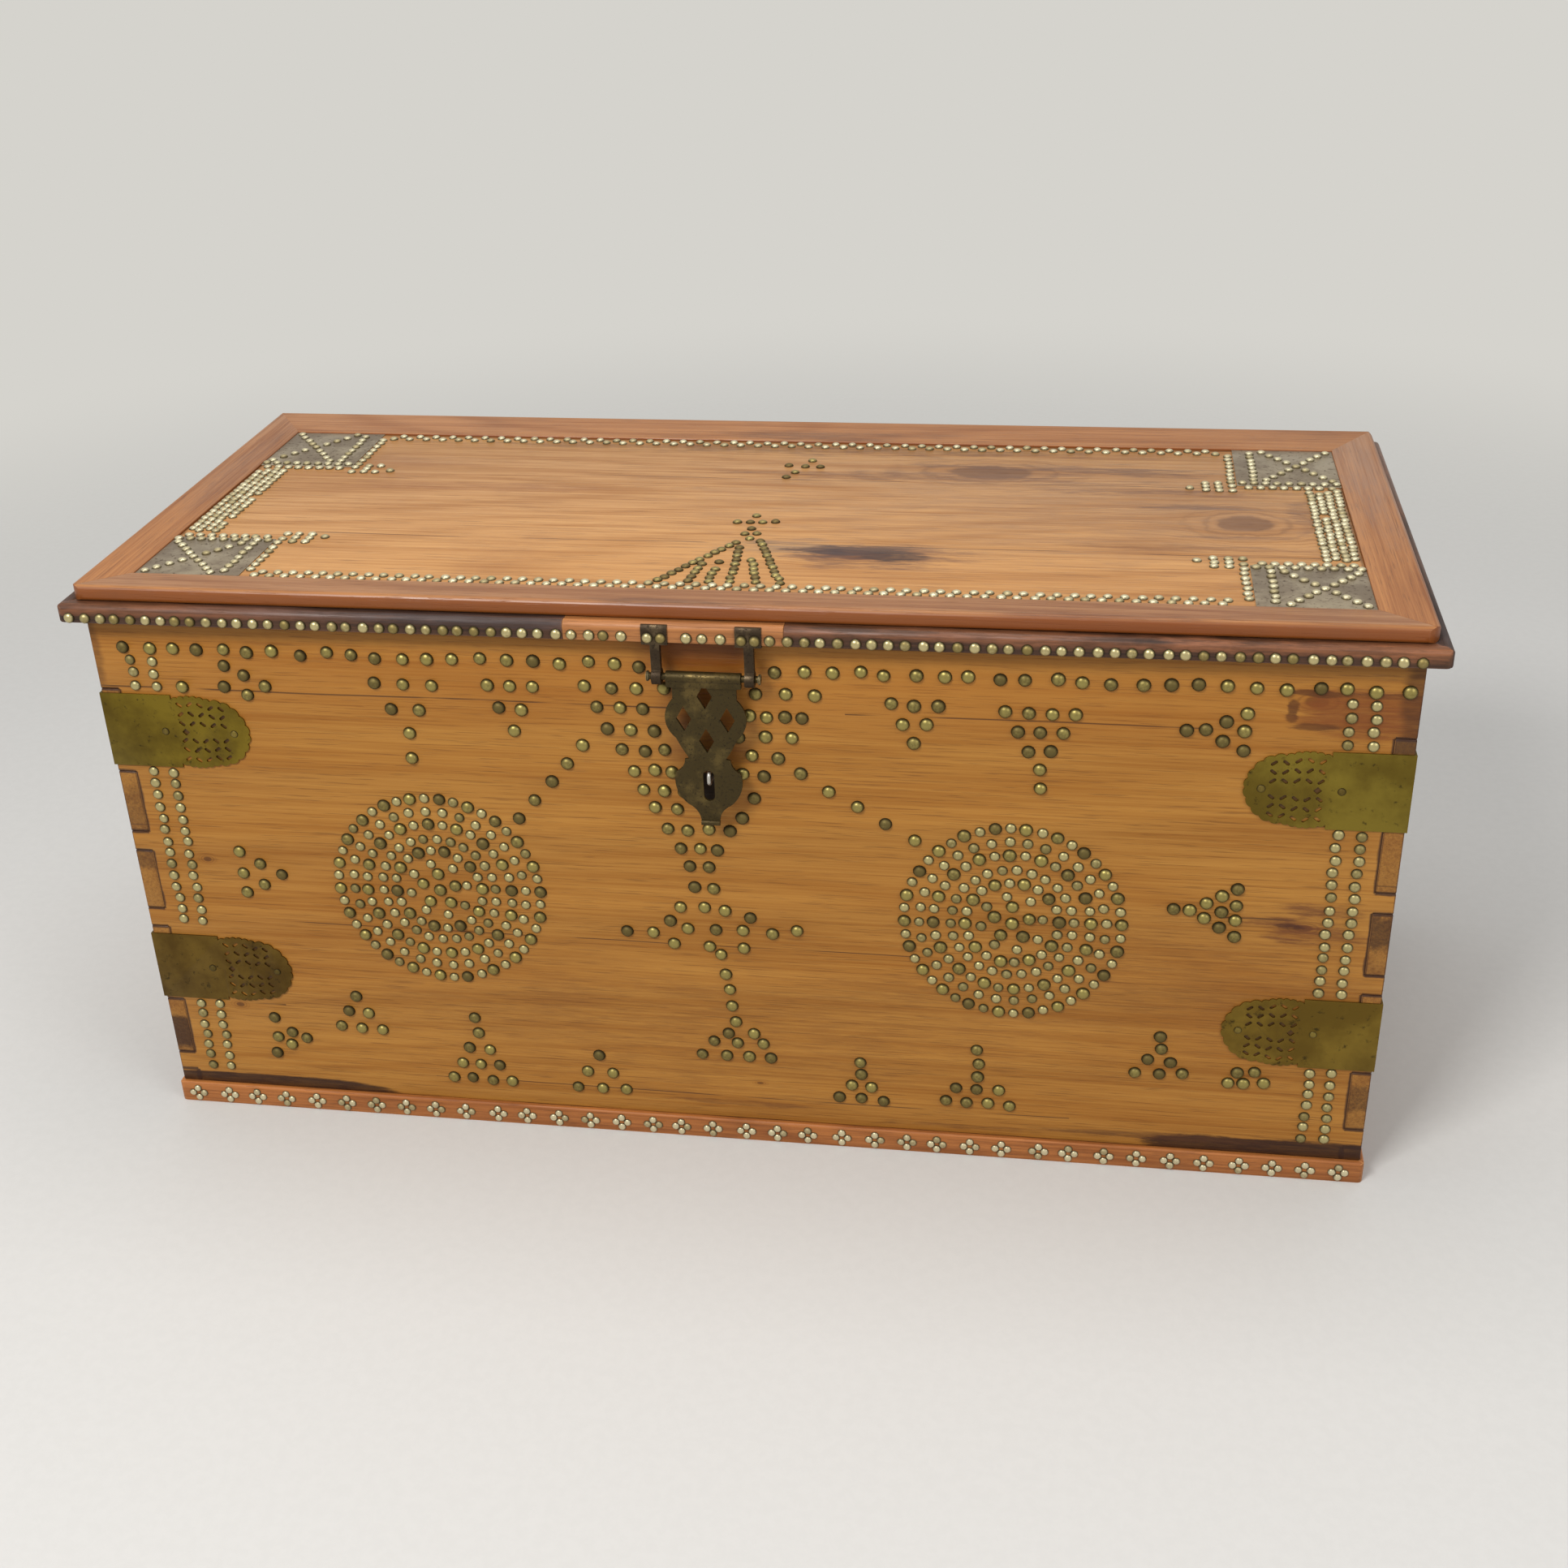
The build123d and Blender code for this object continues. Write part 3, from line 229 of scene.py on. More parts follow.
fibres = wires.grain_noise(sized, 5.0, 420.0, detail=3.0, roughness=0.65)
pore_noise = wires.grain_noise(sized, 24.0, 900.0, detail=2.0)
pores = wires.between(pore_noise, 0.58, 0.68)
usual_sum, tone_gain, middle_tone = 0.99, 1.6, 0.45
tone = wires.times(broad, 0.5)
for layer, share in ((streaks, 0.6), (fibres, 0.8), (rings, 0.14)):
    tone = wires.times_plus(layer, share, tone)
spread = wires.minus(tone, usual_sum)
tone = wires.times_plus(wires.times(spread, given["Contrast"]), tone_gain, middle_tone)
tone = wires.between(tone, 0.0, 1.0)
figured = wires.blend(tone, given["Light"], given["Dark"])
figured = wires.blend(wires.times(pores, 0.4), figured, given["Pore"])
height = wires.minus(wires.times(fibres, 0.6), wires.times(pores, 0.7))
wires.feed(made, Color=figured, Height=height, Tone=tone)
print("wood figure has", len(wires.tree.nodes), "nodes")

# %% [markdown]
# A knot is where a branch began. The grain parts round it, so the group gives back a bent place
# for the figure to read as well as masks for the dark heart, its halo and the growth rings round
# it. The first two axes of the place are along and across the grain.

# %% Knot group
wires, given, made = shader_group(
    "Knot",
    ("Vector", "Heart", "Halo", "Ring"),
    Vector=(0, 0, 0), Centre=(0, 0, 0), Length=0.03, Width=0.015, Push=0.85,
)
away = wires.vector("SUBTRACT", given["Vector"], given["Centre"])
parts = wires.split(away)
wobble = wires.minus(wires.noise(given["Vector"], scale=45.0, detail=3.0), 0.5)
along = wires.over(parts[0], given["Length"])
across = wires.over(parts[1], given["Width"])
far = wires.plus(wires.math("POWER", along, 2.0), wires.math("POWER", across, 2.0))
far = wires.math("SQRT", far)
far = wires.times_plus(wobble, 0.8, far)
near = wires.fading(far, 0.0, 3.2)
shift = wires.times(wires.times(parts[1], near), given["Push"])
bent = wires.joined(0.0, shift, 0.0)
wires.feed(
    made,
    Vector=wires.vector("SUBTRACT", given["Vector"], bent),
    Heart=wires.fading(far, 0.55, 1.05),
    Halo=wires.fading(far, 0.8, 2.4),
)
growth = wires.times_plus(wires.math("SINE", wires.times(far, 11.0)), 0.5, 0.5)
growth = wires.times(wires.math("POWER", growth, 3.0), wires.fading(far, 1.0, 2.6))
wires.feed(made, Ring=growth)
print("knot has", len(wires.tree.nodes), "nodes")

# %% [markdown]
# Damp, hands and lamp oil leave patches with ragged edges that reach further along the grain than
# across it. One group makes them all: an oval whose rim is torn by stretched noise, broken up by
# the fibres that the stain didn't soak into. A higher squareness turns the oval into a box, for the
# dirt and painted shadow behind a strap. The same group also paints shadow where the wood lies in
# shade: under the lid's lip, behind the hasp and along the lid board's edges.

# %% Stain group
wires, given, made = shader_group(
    "Stain",
    ("Mask",),
    Vector=(0, 0, 0), Centre=(0, 0, 0), Length=0.1, Width=0.02, Ragged=0.8,
    Squareness=2.0, Softness=0.4, Broken=0.5,
)
parts = wires.split(wires.vector("SUBTRACT", given["Vector"], given["Centre"]))
along = wires.math("ABSOLUTE", wires.over(parts[0], given["Length"]))
across = wires.math("ABSOLUTE", wires.over(parts[1], given["Width"]))
power = given["Squareness"]
far = wires.plus(wires.math("POWER", along, power), wires.math("POWER", across, power))
far = wires.math("POWER", far, wires.over(1.0, power))
coarse = wires.grain_noise(given["Vector"], 12.0, 70.0, detail=6.0, roughness=0.68)
ragged = wires.times(wires.minus(coarse, 0.5), given["Ragged"])
rim = wires.minus(wires.times_plus(ragged, 2.4, far), 1.0)
rim = wires.over(rim, given["Softness"])
fibre = wires.grain_noise(given["Vector"], 30.0, 330.0, detail=4.0, roughness=0.7)
held_back = wires.times(wires.between(fibre, 0.38, 0.62), given["Broken"])
soaked = wires.fading(rim, -1.0, 1.0)
wires.feed(made, Mask=wires.times(soaked, wires.minus(1.0, held_back)))
print("stain has", len(wires.tree.nodes), "nodes")

# %% [markdown]
# Old boards open in fine splits along the grain. A split is a thin line that wanders a little and
# fades in and out. It darkens the wood and cuts into the bump.

# %% Split group
wires, given, made = shader_group(
    "Split",
    ("Mask",),
    Vector=(0, 0, 0), Height=0.0, Start=-0.5, End=0.5, Wander=0.004, Half_width=0.0006,
)
parts = wires.split(given["Vector"])
lengthwise = wires.joined(parts[0], given["Height"], 0.0)
drift = wires.minus(wires.noise(lengthwise, scale=5.0, detail=4.0), 0.5)
line = wires.times_plus(drift, given["Wander"], given["Height"])
off_line = wires.math("ABSOLUTE", wires.minus(parts[1], line))
thin = wires.over(off_line, given["Half width"])
breaks = wires.between(wires.noise(lengthwise, scale=11.0, detail=2.0), 0.38, 0.52)
on_line = wires.fading(thin, 0.6, 1.6)
started = wires.math("GREATER_THAN", parts[0], given["Start"])
ended = wires.math("LESS_THAN", parts[0], given["End"])
inside = wires.times(wires.times(started, ended), breaks)
wires.feed(made, Mask=wires.times(on_line, inside))
print("split has", len(wires.tree.nodes), "nodes")

# %% [markdown]
# The corner of the case is a row of interlocked fingers, and the glue line round each finger is
# dark, partly glue and dirt gone dark and partly painted shade in the joint's narrow gap. The group
# folds the height into one repeat of the joint, then marks the two level edges of a finger and the
# upright line at its root.

# %% Finger joint group
wires, given, made = shader_group(
    "Finger joint",
    ("Mask", "Between"),
    Across=0.0, Height=0.0, Root=0.543, Top=0.446, Pitch=0.082, Finger=0.062,
    Line=0.0021, Own=0.0,
)
across = wires.math("ABSOLUTE", given["Across"])
drop = wires.minus(given["Top"], given["Height"])
folded = wires.math("FLOORED_MODULO", drop, given["Pitch"])
to_foot = wires.math("ABSOLUTE", wires.minus(folded, given["Finger"]))
to_top = wires.math("MINIMUM", folded, wires.minus(given["Pitch"], folded))
level_edge = wires.math("MINIMUM", to_foot, to_top)
past_root = wires.math("GREATER_THAN", across, given["Root"])
in_run = wires.math("GREATER_THAN", wires.plus(drop, given["Line"]), 0.0)
in_finger = wires.times(wires.math("LESS_THAN", folded, given["Finger"]), in_run)
place = wires.joined(across, given["Height"], given["Own"])
uneven = wires.times_plus(wires.noise(place, scale=60.0, detail=4.0), 1.8, 0.1)
reach = wires.times(uneven, given["Line"])
level_line = wires.fading(wires.over(level_edge, reach), 0.5, 1.3)
level_line = wires.times(wires.times(level_line, past_root), in_run)
to_root = wires.math("ABSOLUTE", wires.minus(across, given["Root"]))
root_line = wires.fading(wires.over(to_root, reach), 0.5, 1.3)
root_line = wires.times(root_line, in_finger)
wires.feed(
    made,
    Mask=wires.math("MAXIMUM", level_line, root_line),
    Between=wires.times(in_finger, past_root),
)
print("finger joint has", len(wires.tree.nodes), "nodes")

# %% [markdown]
# Brass that is never polished goes brown and olive in clouds, keeps a little gold where it is
# touched, and carries pin-prick spots. Iron does the same in black and rust. One group serves both,
# with its three colours as inputs.

# %% Old metal group
wires, given, made = shader_group(
    "Old metal",
    ("Color", "Roughness", "Height"),
    Vector=(0, 0, 0),
    Bright=rgb(190, 165, 90),
    Dull=rgb(120, 105, 45),
    Grime=rgb(50, 42, 22),
    Bright_share=0.5, Grime_share=0.4, Cloud_scale=30.0,
)
clouds = wires.noise(given["Vector"], scale=given["Cloud scale"], detail=5.0, roughness=0.6)
specks = wires.noise(
    given["Vector"], scale=wires.times(given["Cloud scale"], 9.0), detail=3.0, roughness=0.7
)
dents = wires.noise(given["Vector"], scale=wires.times(given["Cloud scale"], 3.0), detail=2.0)
edge_value = wires.minus(0.75, wires.times(given["Bright share"], 0.5))
polished = wires.between(wires.minus(clouds, edge_value), -0.12, 0.12)
grime_edge = wires.minus(0.78, wires.times(given["Grime share"], 0.4))
spotted = wires.between(wires.minus(specks, grime_edge), -0.08, 0.08)
patina = wires.blend(polished, given["Dull"], given["Bright"])
patina = wires.blend(wires.times(spotted, 0.8), patina, given["Grime"])
rough = wires.minus(0.52, wires.times(polished, 0.16))
wires.feed(
    made,
    Color=patina,
    Roughness=wires.times_plus(spotted, 0.25, rough),
    Height=wires.minus(dents, wires.times(spotted, 0.3)),
)
print("old metal has", len(wires.tree.nodes), "nodes")

# %% [markdown]
# Every material of the chest starts and ends in the same way: a shader, the place on the piece, and
# at the end a bump. The shader itself stays in the material, as the export wants, and only the
# groups above are shared.


# %% Start and end of a material
def group_node(wires, name, **inputs):
    return wires.add("ShaderNodeGroup", {"node_tree": bpy.data.node_groups[name]}, **inputs)


def start_material(name):
    material = bpy.data.materials.new(name)
    material.use_nodes = True
    material.node_tree.nodes.clear()
    wires = Wires(material.node_tree)
    shader = wires.add("ShaderNodeBsdfPrincipled")
    wires.add("ShaderNodeOutputMaterial", Surface=shader.outputs[0])
    place = wires.add("ShaderNodeTexCoord")
    return material, wires, shader, place.outputs


def finish_surface(wires, shader, relief, bump, depth, **inputs):
    """Feed the shader its inputs and a bump that depth in metres scales."""
    bumped = wires.add("ShaderNodeBump", Height=relief, Strength=bump, Distance=depth)
    wires.feed(shader, Normal=bumped.outputs[0], **inputs)


wood_relief, metal_relief, nail_relief = 0.0006, 0.0007, 0.0003  # metres
print("materials start with", len(bpy.data.node_groups), "groups to call")

# %% [markdown]
# Knots, stains and splits come as short lists of numbers. Each becomes a mark: a mask with a
# strength and a colour, to be laid over the figure. A stain is kept off the inner face of its board.

# %% Marks on wood
stain_inputs = ("Length", "Width", "Ragged", "Squareness", "Softness", "Broken")
usual_stain = (2.0, 0.4, 0.5)  # squareness, softness and broken, where a stain leaves them out
split_dark, split_depth, split_colour = 0.75, 2.0, (60, 32, 18)
# The dark line round each finger: partly dirt in the joint, partly painted shade in its gap.
joint_dark, joint_depth, joint_colour = 0.85, 1.5, (48, 24, 12)
finger_colour = (96, 52, 24)
dust_share, dust_colour = 0.5, (170, 124, 80)


def knot_marks(wires, flow, knots, dark, pore):
    """The place bent round every knot, and the marks that the knots leave."""
    marks = []
    for centre, length, width, push in knots:
        knot = group_node(
            wires, "Knot", Vector=flow, Centre=(*centre, 0), Length=length, Width=width, Push=push
        )
        flow = knot.outputs["Vector"]
        shares = (("Halo", 0.3, dark), ("Ring", 0.45, pore), ("Heart", 0.8, pore))
        marks += [(knot.outputs[mask], strength, tint) for mask, strength, tint in shares]
    return flow, marks


def stain_marks(wires, turned, stains, outside):
    """The marks of the stains, kept off the inner face."""
    marks = []
    for tint, strength, centre, *shape in stains:
        shape = (*shape, *usual_stain[len(shape) - 3 :])
        stain = group_node(
            wires, "Stain", Vector=turned, Centre=(*centre, 0), **dict(zip(stain_inputs, shape))
        )
        marks.append((wires.times(stain.outputs["Mask"], outside), strength, tint))
    return marks


def split_masks(wires, turned, splits):
    names = ("Height", "Start", "End", "Wander", "Half_width")
    return [
        group_node(wires, "Split", Vector=turned, **dict(zip(names, split))).outputs["Mask"]
        for split in splits
    ]


print("a stain takes", ", ".join(stain_inputs).lower())

# %% [markdown]
# Every wooden piece uses the same recipe with its own values: turn the axes to the grain, bend them
# round the knots, read the figure, then lay the marks over it one after the other. The rounded
# arrises come from a face attribute that the softening step stores. Most wood shows them pale where
# use has rubbed them; the front and end boards show them dark, partly dirt in the joints and partly
# painted shade. Upright faces can also take painted shade.

# %% Wood material
usual_wood = dict(
    seed=0.0, contrast=1.0, coarseness=1.0, roughness=0.5, specular=0.35, bump=0.35,
    end_dark=0.55, end_colour=(105, 60, 30), side_dark=0.0, side_colour=(0, 0, 0),
    grime=0.25, grime_colour=(95, 55, 28), worn=0.5, worn_colour=(206, 150, 92),
    finger_dark=0.3, inner_side=None,
)


def wood(name, grain, light, dark, pore, knots=(), stains=(), splits=(), joint=None, **look):
    """Oiled wood. grain names the axes along, across and through the board, such as 'XZY'."""
    look = {**usual_wood, **look}
    material, wires, shader, place = start_material(name)
    axes = wires.split(place["Object"])
    turned = wires.joined(*[axes["XYZ".index(axis)] for axis in grain])
    flow, marks = knot_marks(wires, turned, knots, dark, pore)
    figure = group_node(
        wires,
        "Wood figure",
        Vector=flow,
        Light=rgb(*light),
        Dark=rgb(*dark),
        Pore=rgb(*pore),
        Seed=look["seed"],
        Contrast=look["contrast"],
        Coarseness=look["coarseness"],
    )
    colour = figure.outputs["Color"]
    relief = figure.outputs["Height"]
    facing = wires.split(place["Normal"])
    outside = 1.0
    if look["inner_side"]:
        axis, sign = look["inner_side"]
        dusty = wires.between(wires.times(facing["XYZ".index(axis)], sign), 0.5, 0.9)
        outside = wires.minus(1.0, dusty)
    marks += stain_marks(wires, turned, stains, outside)
    for mask in split_masks(wires, turned, splits):
        marks.append((mask, split_dark, split_colour))
        relief = wires.minus(relief, wires.times(mask, split_depth))
    end_grain = wires.between(wires.math("ABSOLUTE", facing["XYZ".index(grain[0])]), 0.6, 0.9)
    marks.append((end_grain, look["end_dark"], look["end_colour"]))
    # Painted shade: upright faces are darkened as if less light reached them.
    if look["side_dark"]:
        upright = wires.fading(wires.math("ABSOLUTE", facing[2]), 0.35, 0.85)
        marks.append((upright, look["side_dark"], look["side_colour"]))
    grime = wires.noise(place["Object"], scale=7.0, detail=6.0, roughness=0.65)
    marks.append((wires.between(grime, 0.5, 0.75), look["grime"], look["grime_colour"]))
    if joint:
        across_axis, root = joint
        across = axes["XYZ".index(across_axis)]
        fingers = group_node(
            wires, "Finger joint", Across=across, Height=axes[2], Root=root, Own=look["seed"]
        )
        marks.append((fingers.outputs["Between"], look["finger_dark"], finger_colour))
        # The finger joint lines: dirt and painted shade.
        marks.append((fingers.outputs["Mask"], joint_dark, joint_colour))
        relief = wires.minus(relief, wires.times(fingers.outputs["Mask"], joint_depth))
    # Rounded edges: pale wear on most wood; dark on the front and end boards, partly dirt in the
    # joints and partly painted shade.
    patchy = wires.times(wires.attribute("worn"), wires.between(grime, 0.35, 0.6))
    marks.append((patchy, look["worn"], look["worn_colour"]))
    for mask, strength, tint in marks:
        colour = wires.blend(wires.times(mask, strength), colour, rgb(*tint))
    gloss = look["roughness"]
    rough = wires.between(figure.outputs["Tone"], 0.0, 1.0, gloss - 0.06, gloss + 0.1)
    if look["inner_side"]:
        colour = wires.blend(wires.times(dusty, dust_share), colour, rgb(*dust_colour))
        rough = wires.times_plus(dusty, 0.22, rough)
    shine = {"Roughness": rough, "Specular_IOR_Level": look["specular"]}
    finish_surface(wires, shader, relief, look["bump"], wood_relief, Base_Color=colour, **shine)
    return material


print("wood recipe ready")

# %% [markdown]
# The front board has a few knots, long fine splits where its planks meet and black damp marks along
# its foot. Painted shadow darkens it under the lid's lip, behind the hasp and inside the hasp's slot.
# Dirt and painted shadow show through the slots of the straps.

# %% Front board
strap_back = (56, 38, 16)  # dirt and painted shadow seen through the slots of a strap
damp_black, knot_bark, resin = (40, 17, 11), (48, 22, 12), (60, 28, 16)
corner_dark, foot_brown = (44, 24, 14), (90, 50, 24)
strap_leaf_middle = 0.097  # from the corner to the middle of a strap's pierced end
strap_heights = {"left": (0.407, 0.157), "right": (0.397, 0.157)}


def behind_straps(corners):
    """Square marks of dirt and painted shadow behind the straps, for (place along the board, heights)
    pairs.
    """
    return tuple(
        (strap_back, 0.9, (along, height), 0.029, 0.027, 0.1, 2.6, 0.08, 0.1)
        for along, heights in corners
        for height in heights
    )


half_width, half_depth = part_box("front_board")[1][0], -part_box("front_board")[0][1]
leaf_x = half_width - strap_leaf_middle
leaf_y = -half_depth + strap_leaf_middle
front_root = half_width - 0.017
end_root = half_depth - 0.022
front_wood = wood(
    "front_teak", "XZY", (171, 119, 50), (138, 84, 22), (88, 50, 14),
    knots=(
        ((0.480, 0.476), 0.012, 0.006, 0.9),
        ((0.487, 0.264), 0.010, 0.004, 0.9),
        ((-0.491, 0.276), 0.0045, 0.003, 0.8),
        ((-0.486, 0.116), 0.005, 0.003, 0.8),
        ((0.015, 0.064), 0.004, 0.0015, 0.8),
    ),
    stains=(
        (damp_black, 0.95, (-0.47, 0.022), 0.125, 0.0125, 0.22, 3.0, 0.07, 0.1),
        (damp_black, 0.95, (0.49, 0.024), 0.125, 0.016, 0.35, 3.0, 0.08, 0.1),
        ((72, 38, 20), 0.7, (0.38, 0.034), 0.10, 0.004, 0.8, 2.0, 0.25),
        ((104, 50, 22), 0.85, (0.522, 0.470), 0.052, 0.021, 0.7, 3.0, 0.25, 0.25),
        (knot_bark, 0.9, (0.461, 0.469), 0.0045, 0.011, 1.2, 2.0, 0.3, 0.2),
        (knot_bark, 0.9, (0.478, 0.4835), 0.020, 0.0032, 1.4, 2.0, 0.3, 0.2),
        (knot_bark, 0.85, (0.482, 0.4535), 0.018, 0.0032, 1.4, 2.0, 0.3, 0.2),
        (resin, 0.7, (0.530, 0.484), 0.030, 0.003, 1.8, 2.0, 0.3, 0.4),
        (corner_dark, 0.85, (0.557, 0.480), 0.012, 0.036, 0.8, 2.5, 0.4, 0.3),
        (corner_dark, 0.6, (-0.559, 0.480), 0.006, 0.036, 0.8, 2.5, 0.5, 0.3),
        ((98, 54, 28), 0.8, (0.500, 0.284), 0.036, 0.006, 1.6, 2.0, 0.35, 0.7),
        ((98, 52, 26), 0.8, (0.485, 0.259), 0.040, 0.010, 1.5, 2.0, 0.4, 0.7),
        (resin, 0.8, (0.478, 0.264), 0.012, 0.003, 1.6, 2.0, 0.3, 0.4),
        ((70, 34, 18), 0.7, (0.480, 0.365), 0.014, 0.003, 1.8, 2.0, 0.3, 0.5),
        ((104, 62, 26), 0.35, (0.40, 0.20), 0.14, 0.05, 1.4, 2.0, 0.8, 0.8),
        ((112, 68, 28), 0.35, (-0.05, 0.12), 0.3, 0.06, 1.4, 2.0, 0.8, 0.8),
        (foot_brown, 0.5, (-0.02, 0.039), 0.05, 0.003, 1.9, 2.0, 0.4, 0.6),
        (foot_brown, 0.5, (0.20, 0.030), 0.06, 0.003, 1.9, 2.0, 0.4, 0.6),
        # Painted shadow: under the lip between the hasp's eyes, behind the hasp, and inside the
        # hasp's slot.
        ((96, 46, 16), 0.88, (-0.018, 0.502), 0.046, 0.016, 0.4, 6.0, 0.4, 0.15),
        ((92, 46, 20), 0.65, (-0.018, 0.436), 0.030, 0.045, 0.5, 3.0, 0.5, 0.2),
        ((20, 12, 8), 0.95, (-0.0175, 0.373), 0.007, 0.016, 0.2, 4.0, 0.15, 0.0),
        ((156, 90, 20), 0.35, (0.0, 0.470), 0.56, 0.035, 0.5, 6.0, 0.8, 0.2),
        # Painted shadow in a thin band under the lid's lip.
        ((80, 44, 22), 0.5, (0.0, 0.5145), 0.56, 0.005, 0.7, 8.0, 0.7, 0.4),
        *behind_straps([(-leaf_x, strap_heights["left"]), (leaf_x, strap_heights["right"])]),
    ),
    splits=(
        (0.449, -0.56, -0.02, 0.004, 0.0006), (0.449, 0.1, 0.43, 0.004, 0.0005),
        (0.213, -0.43, 0.2, 0.006, 0.0004), (0.270, 0.42, 0.53, 0.008, 0.0006),
        (0.118, -0.52, -0.44, 0.012, 0.0007), (0.047, -0.30, 0.3, 0.004, 0.0004),
    ),
    joint=("X", front_root), finger_dark=0.0, inner_side=("Y", 1.0), seed=1.0,
    # Dark rounded edges: partly dirt in the joints, partly painted shade.
    end_colour=(96, 58, 26), end_dark=0.4, worn=0.75, worn_colour=(58, 30, 14), contrast=0.75,
    grime=0.12, grime_colour=(112, 68, 26), roughness=0.47, specular=0.28,
)
print("front board has", len(front_wood.node_tree.nodes), "nodes")

# %% [markdown]
# The back board and the two end boards share one tint. The end boards' tongues show at the front
# corners, and some of them are stained dark.

# %% Back and end boards
finger_stain = (34, 20, 14)
left_stains = (
    *behind_straps([(leaf_y, strap_heights["left"])]),
    (finger_stain, 0.95, (-half_depth, 0.080), 0.03, 0.018, 0.5, 6.0, 0.2, 0.1),
    (finger_stain, 0.6, (-half_depth, 0.274), 0.02, 0.010, 1.0, 3.0, 0.3, 0.3),
    (finger_stain, 0.4, (-half_depth, 0.325), 0.02, 0.020, 1.4, 3.0, 0.5, 0.5),
)
right_stains = (
    *behind_straps([(leaf_y, strap_heights["right"])]),
    (finger_stain, 0.85, (-half_depth, 0.264), 0.016, 0.016, 0.8, 3.0, 0.3, 0.2),
    (finger_stain, 0.7, (-half_depth, 0.090), 0.018, 0.012, 1.2, 3.0, 0.4, 0.4),
    (finger_stain, 0.85, (-half_depth, 0.441), 0.02, 0.010, 0.5, 6.0, 0.3, 0.1),
)
case_wood = {
    "back_board": ("XZY", 2.0, ("X", front_root), ("Y", -1.0), ()),
    "left_end_board": ("YZX", 3.0, ("Y", end_root), ("X", 1.0), left_stains),
    "right_end_board": ("YZX", 4.0, ("Y", end_root), ("X", -1.0), right_stains),
}
case_materials = {
    node: wood(
        f"{node}_teak",
        grain, (164, 114, 48), (122, 76, 29), (70, 40, 16),
        knots=(((0.08 * seed - 0.2, 0.16 + 0.03 * seed), 0.020, 0.010, 0.85),),
        stains=(*stains, ((70, 36, 20), 0.6, (0.02 * seed, 0.03), 0.4, 0.012, 1.2, 2.0, 0.4)),
        splits=((0.31, -0.5, 0.5, 0.006, 0.0006), (0.447, -0.5, 0.3, 0.004, 0.0005)),
        joint=joint, inner_side=inner_side, seed=seed, grime=0.5, grime_colour=(66, 36, 18),
        # Dark rounded edges: partly dirt in the joints, partly painted shade.
        end_colour=(118, 78, 30), end_dark=0.15, finger_dark=0.1, worn=0.7,
        worn_colour=(58, 30, 14), specular=0.28,
    )
    for node, (grain, seed, joint, inner_side, stains) in case_wood.items()
}
print("made wood for", ", ".join(case_materials))

# %% [markdown]
# The lid board is paler. It has three knots, a near-black stain over the first of them, brown
# clouds, and painted shadow along three of its edges where it meets the rails.

# %% Lid board
knot_grey, edge_dirt = (90, 58, 46), (40, 26, 20)
lid_wood = wood(
    "lid_teak", "XYZ", (191, 140, 84), (150, 99, 50), (94, 56, 28),
    knots=(
        ((0.100, -0.120), 0.030, 0.012, 0.9),
        ((0.430, -0.022), 0.030, 0.022, 0.9),
        ((0.20, 0.10), 0.05, 0.02, 0.6),
    ),
    stains=(
        ((112, 98, 84), 0.6, (0.050, -0.108), 0.055, 0.016, 1.5, 2.0, 0.5, 0.6),
        ((92, 58, 46), 0.85, (0.110, -0.122), 0.070, 0.022, 1.5, 2.0, 0.35, 0.5),
        ((52, 38, 40), 0.9, (0.080, -0.113), 0.045, 0.011, 1.6, 2.0, 0.3, 0.35),
        ((44, 30, 30), 0.9, (0.128, -0.124), 0.030, 0.013, 1.6, 2.0, 0.3, 0.35),
        ((136, 100, 72), 0.5, (0.30, 0.02), 0.26, 0.12, 1.6, 2.0, 0.8, 0.6),
        ((100, 62, 40), 0.7, (0.13, 0.085), 0.14, 0.010, 1.9, 2.0, 0.5, 0.7),
        ((94, 60, 42), 0.7, (0.29, 0.112), 0.12, 0.012, 1.9, 2.0, 0.5, 0.7),
        ((104, 66, 44), 0.65, (0.36, 0.055), 0.10, 0.008, 1.9, 2.0, 0.5, 0.7),
        ((84, 50, 32), 0.65, (0.02, 0.158), 0.26, 0.012, 1.7, 2.0, 0.5, 0.6),
        ((78, 54, 50), 0.6, (0.385, 0.018), 0.050, 0.007, 1.6, 2.0, 0.4, 0.5),
        (knot_grey, 0.5, (0.482, -0.005), 0.012, 0.030, 1.5, 2.0, 0.4, 0.5),
        (knot_grey, 0.5, (0.44, -0.056), 0.050, 0.005, 1.6, 2.0, 0.4, 0.5),
        ((130, 78, 42), 0.5, (-0.27, 0.03), 0.11, 0.010, 1.7, 2.0, 0.6, 0.6),
        ((130, 80, 46), 0.45, (-0.40, 0.10), 0.10, 0.012, 1.7, 2.0, 0.6, 0.6),
        ((100, 60, 36), 0.5, (0.38, -0.085), 0.10, 0.006, 1.9, 2.0, 0.5, 0.6),
        # Painted shadow in the gaps along the back and end rails; the front edge is left lit.
        (edge_dirt, 0.75, (0.0, 0.1795), 0.53, 0.0032, 0.7, 9.0, 0.6, 0.2),
        (edge_dirt, 0.6, (-0.522, 0.0), 0.0028, 0.22, 0.7, 9.0, 0.6, 0.2),
        (edge_dirt, 0.6, (0.522, 0.0), 0.0028, 0.22, 0.7, 9.0, 0.6, 0.2),
    ),
    splits=((-0.1, -0.4, 0.5, 0.01, 0.0006), (0.07, -0.2, 0.5, 0.01, 0.0005)),
    inner_side=("Z", -1.0), seed=5.0, contrast=0.85, grime=0.25, grime_colour=(128, 80, 46),
    roughness=0.42,
)
print("lid board has", len(lid_wood.node_tree.nodes), "nodes")
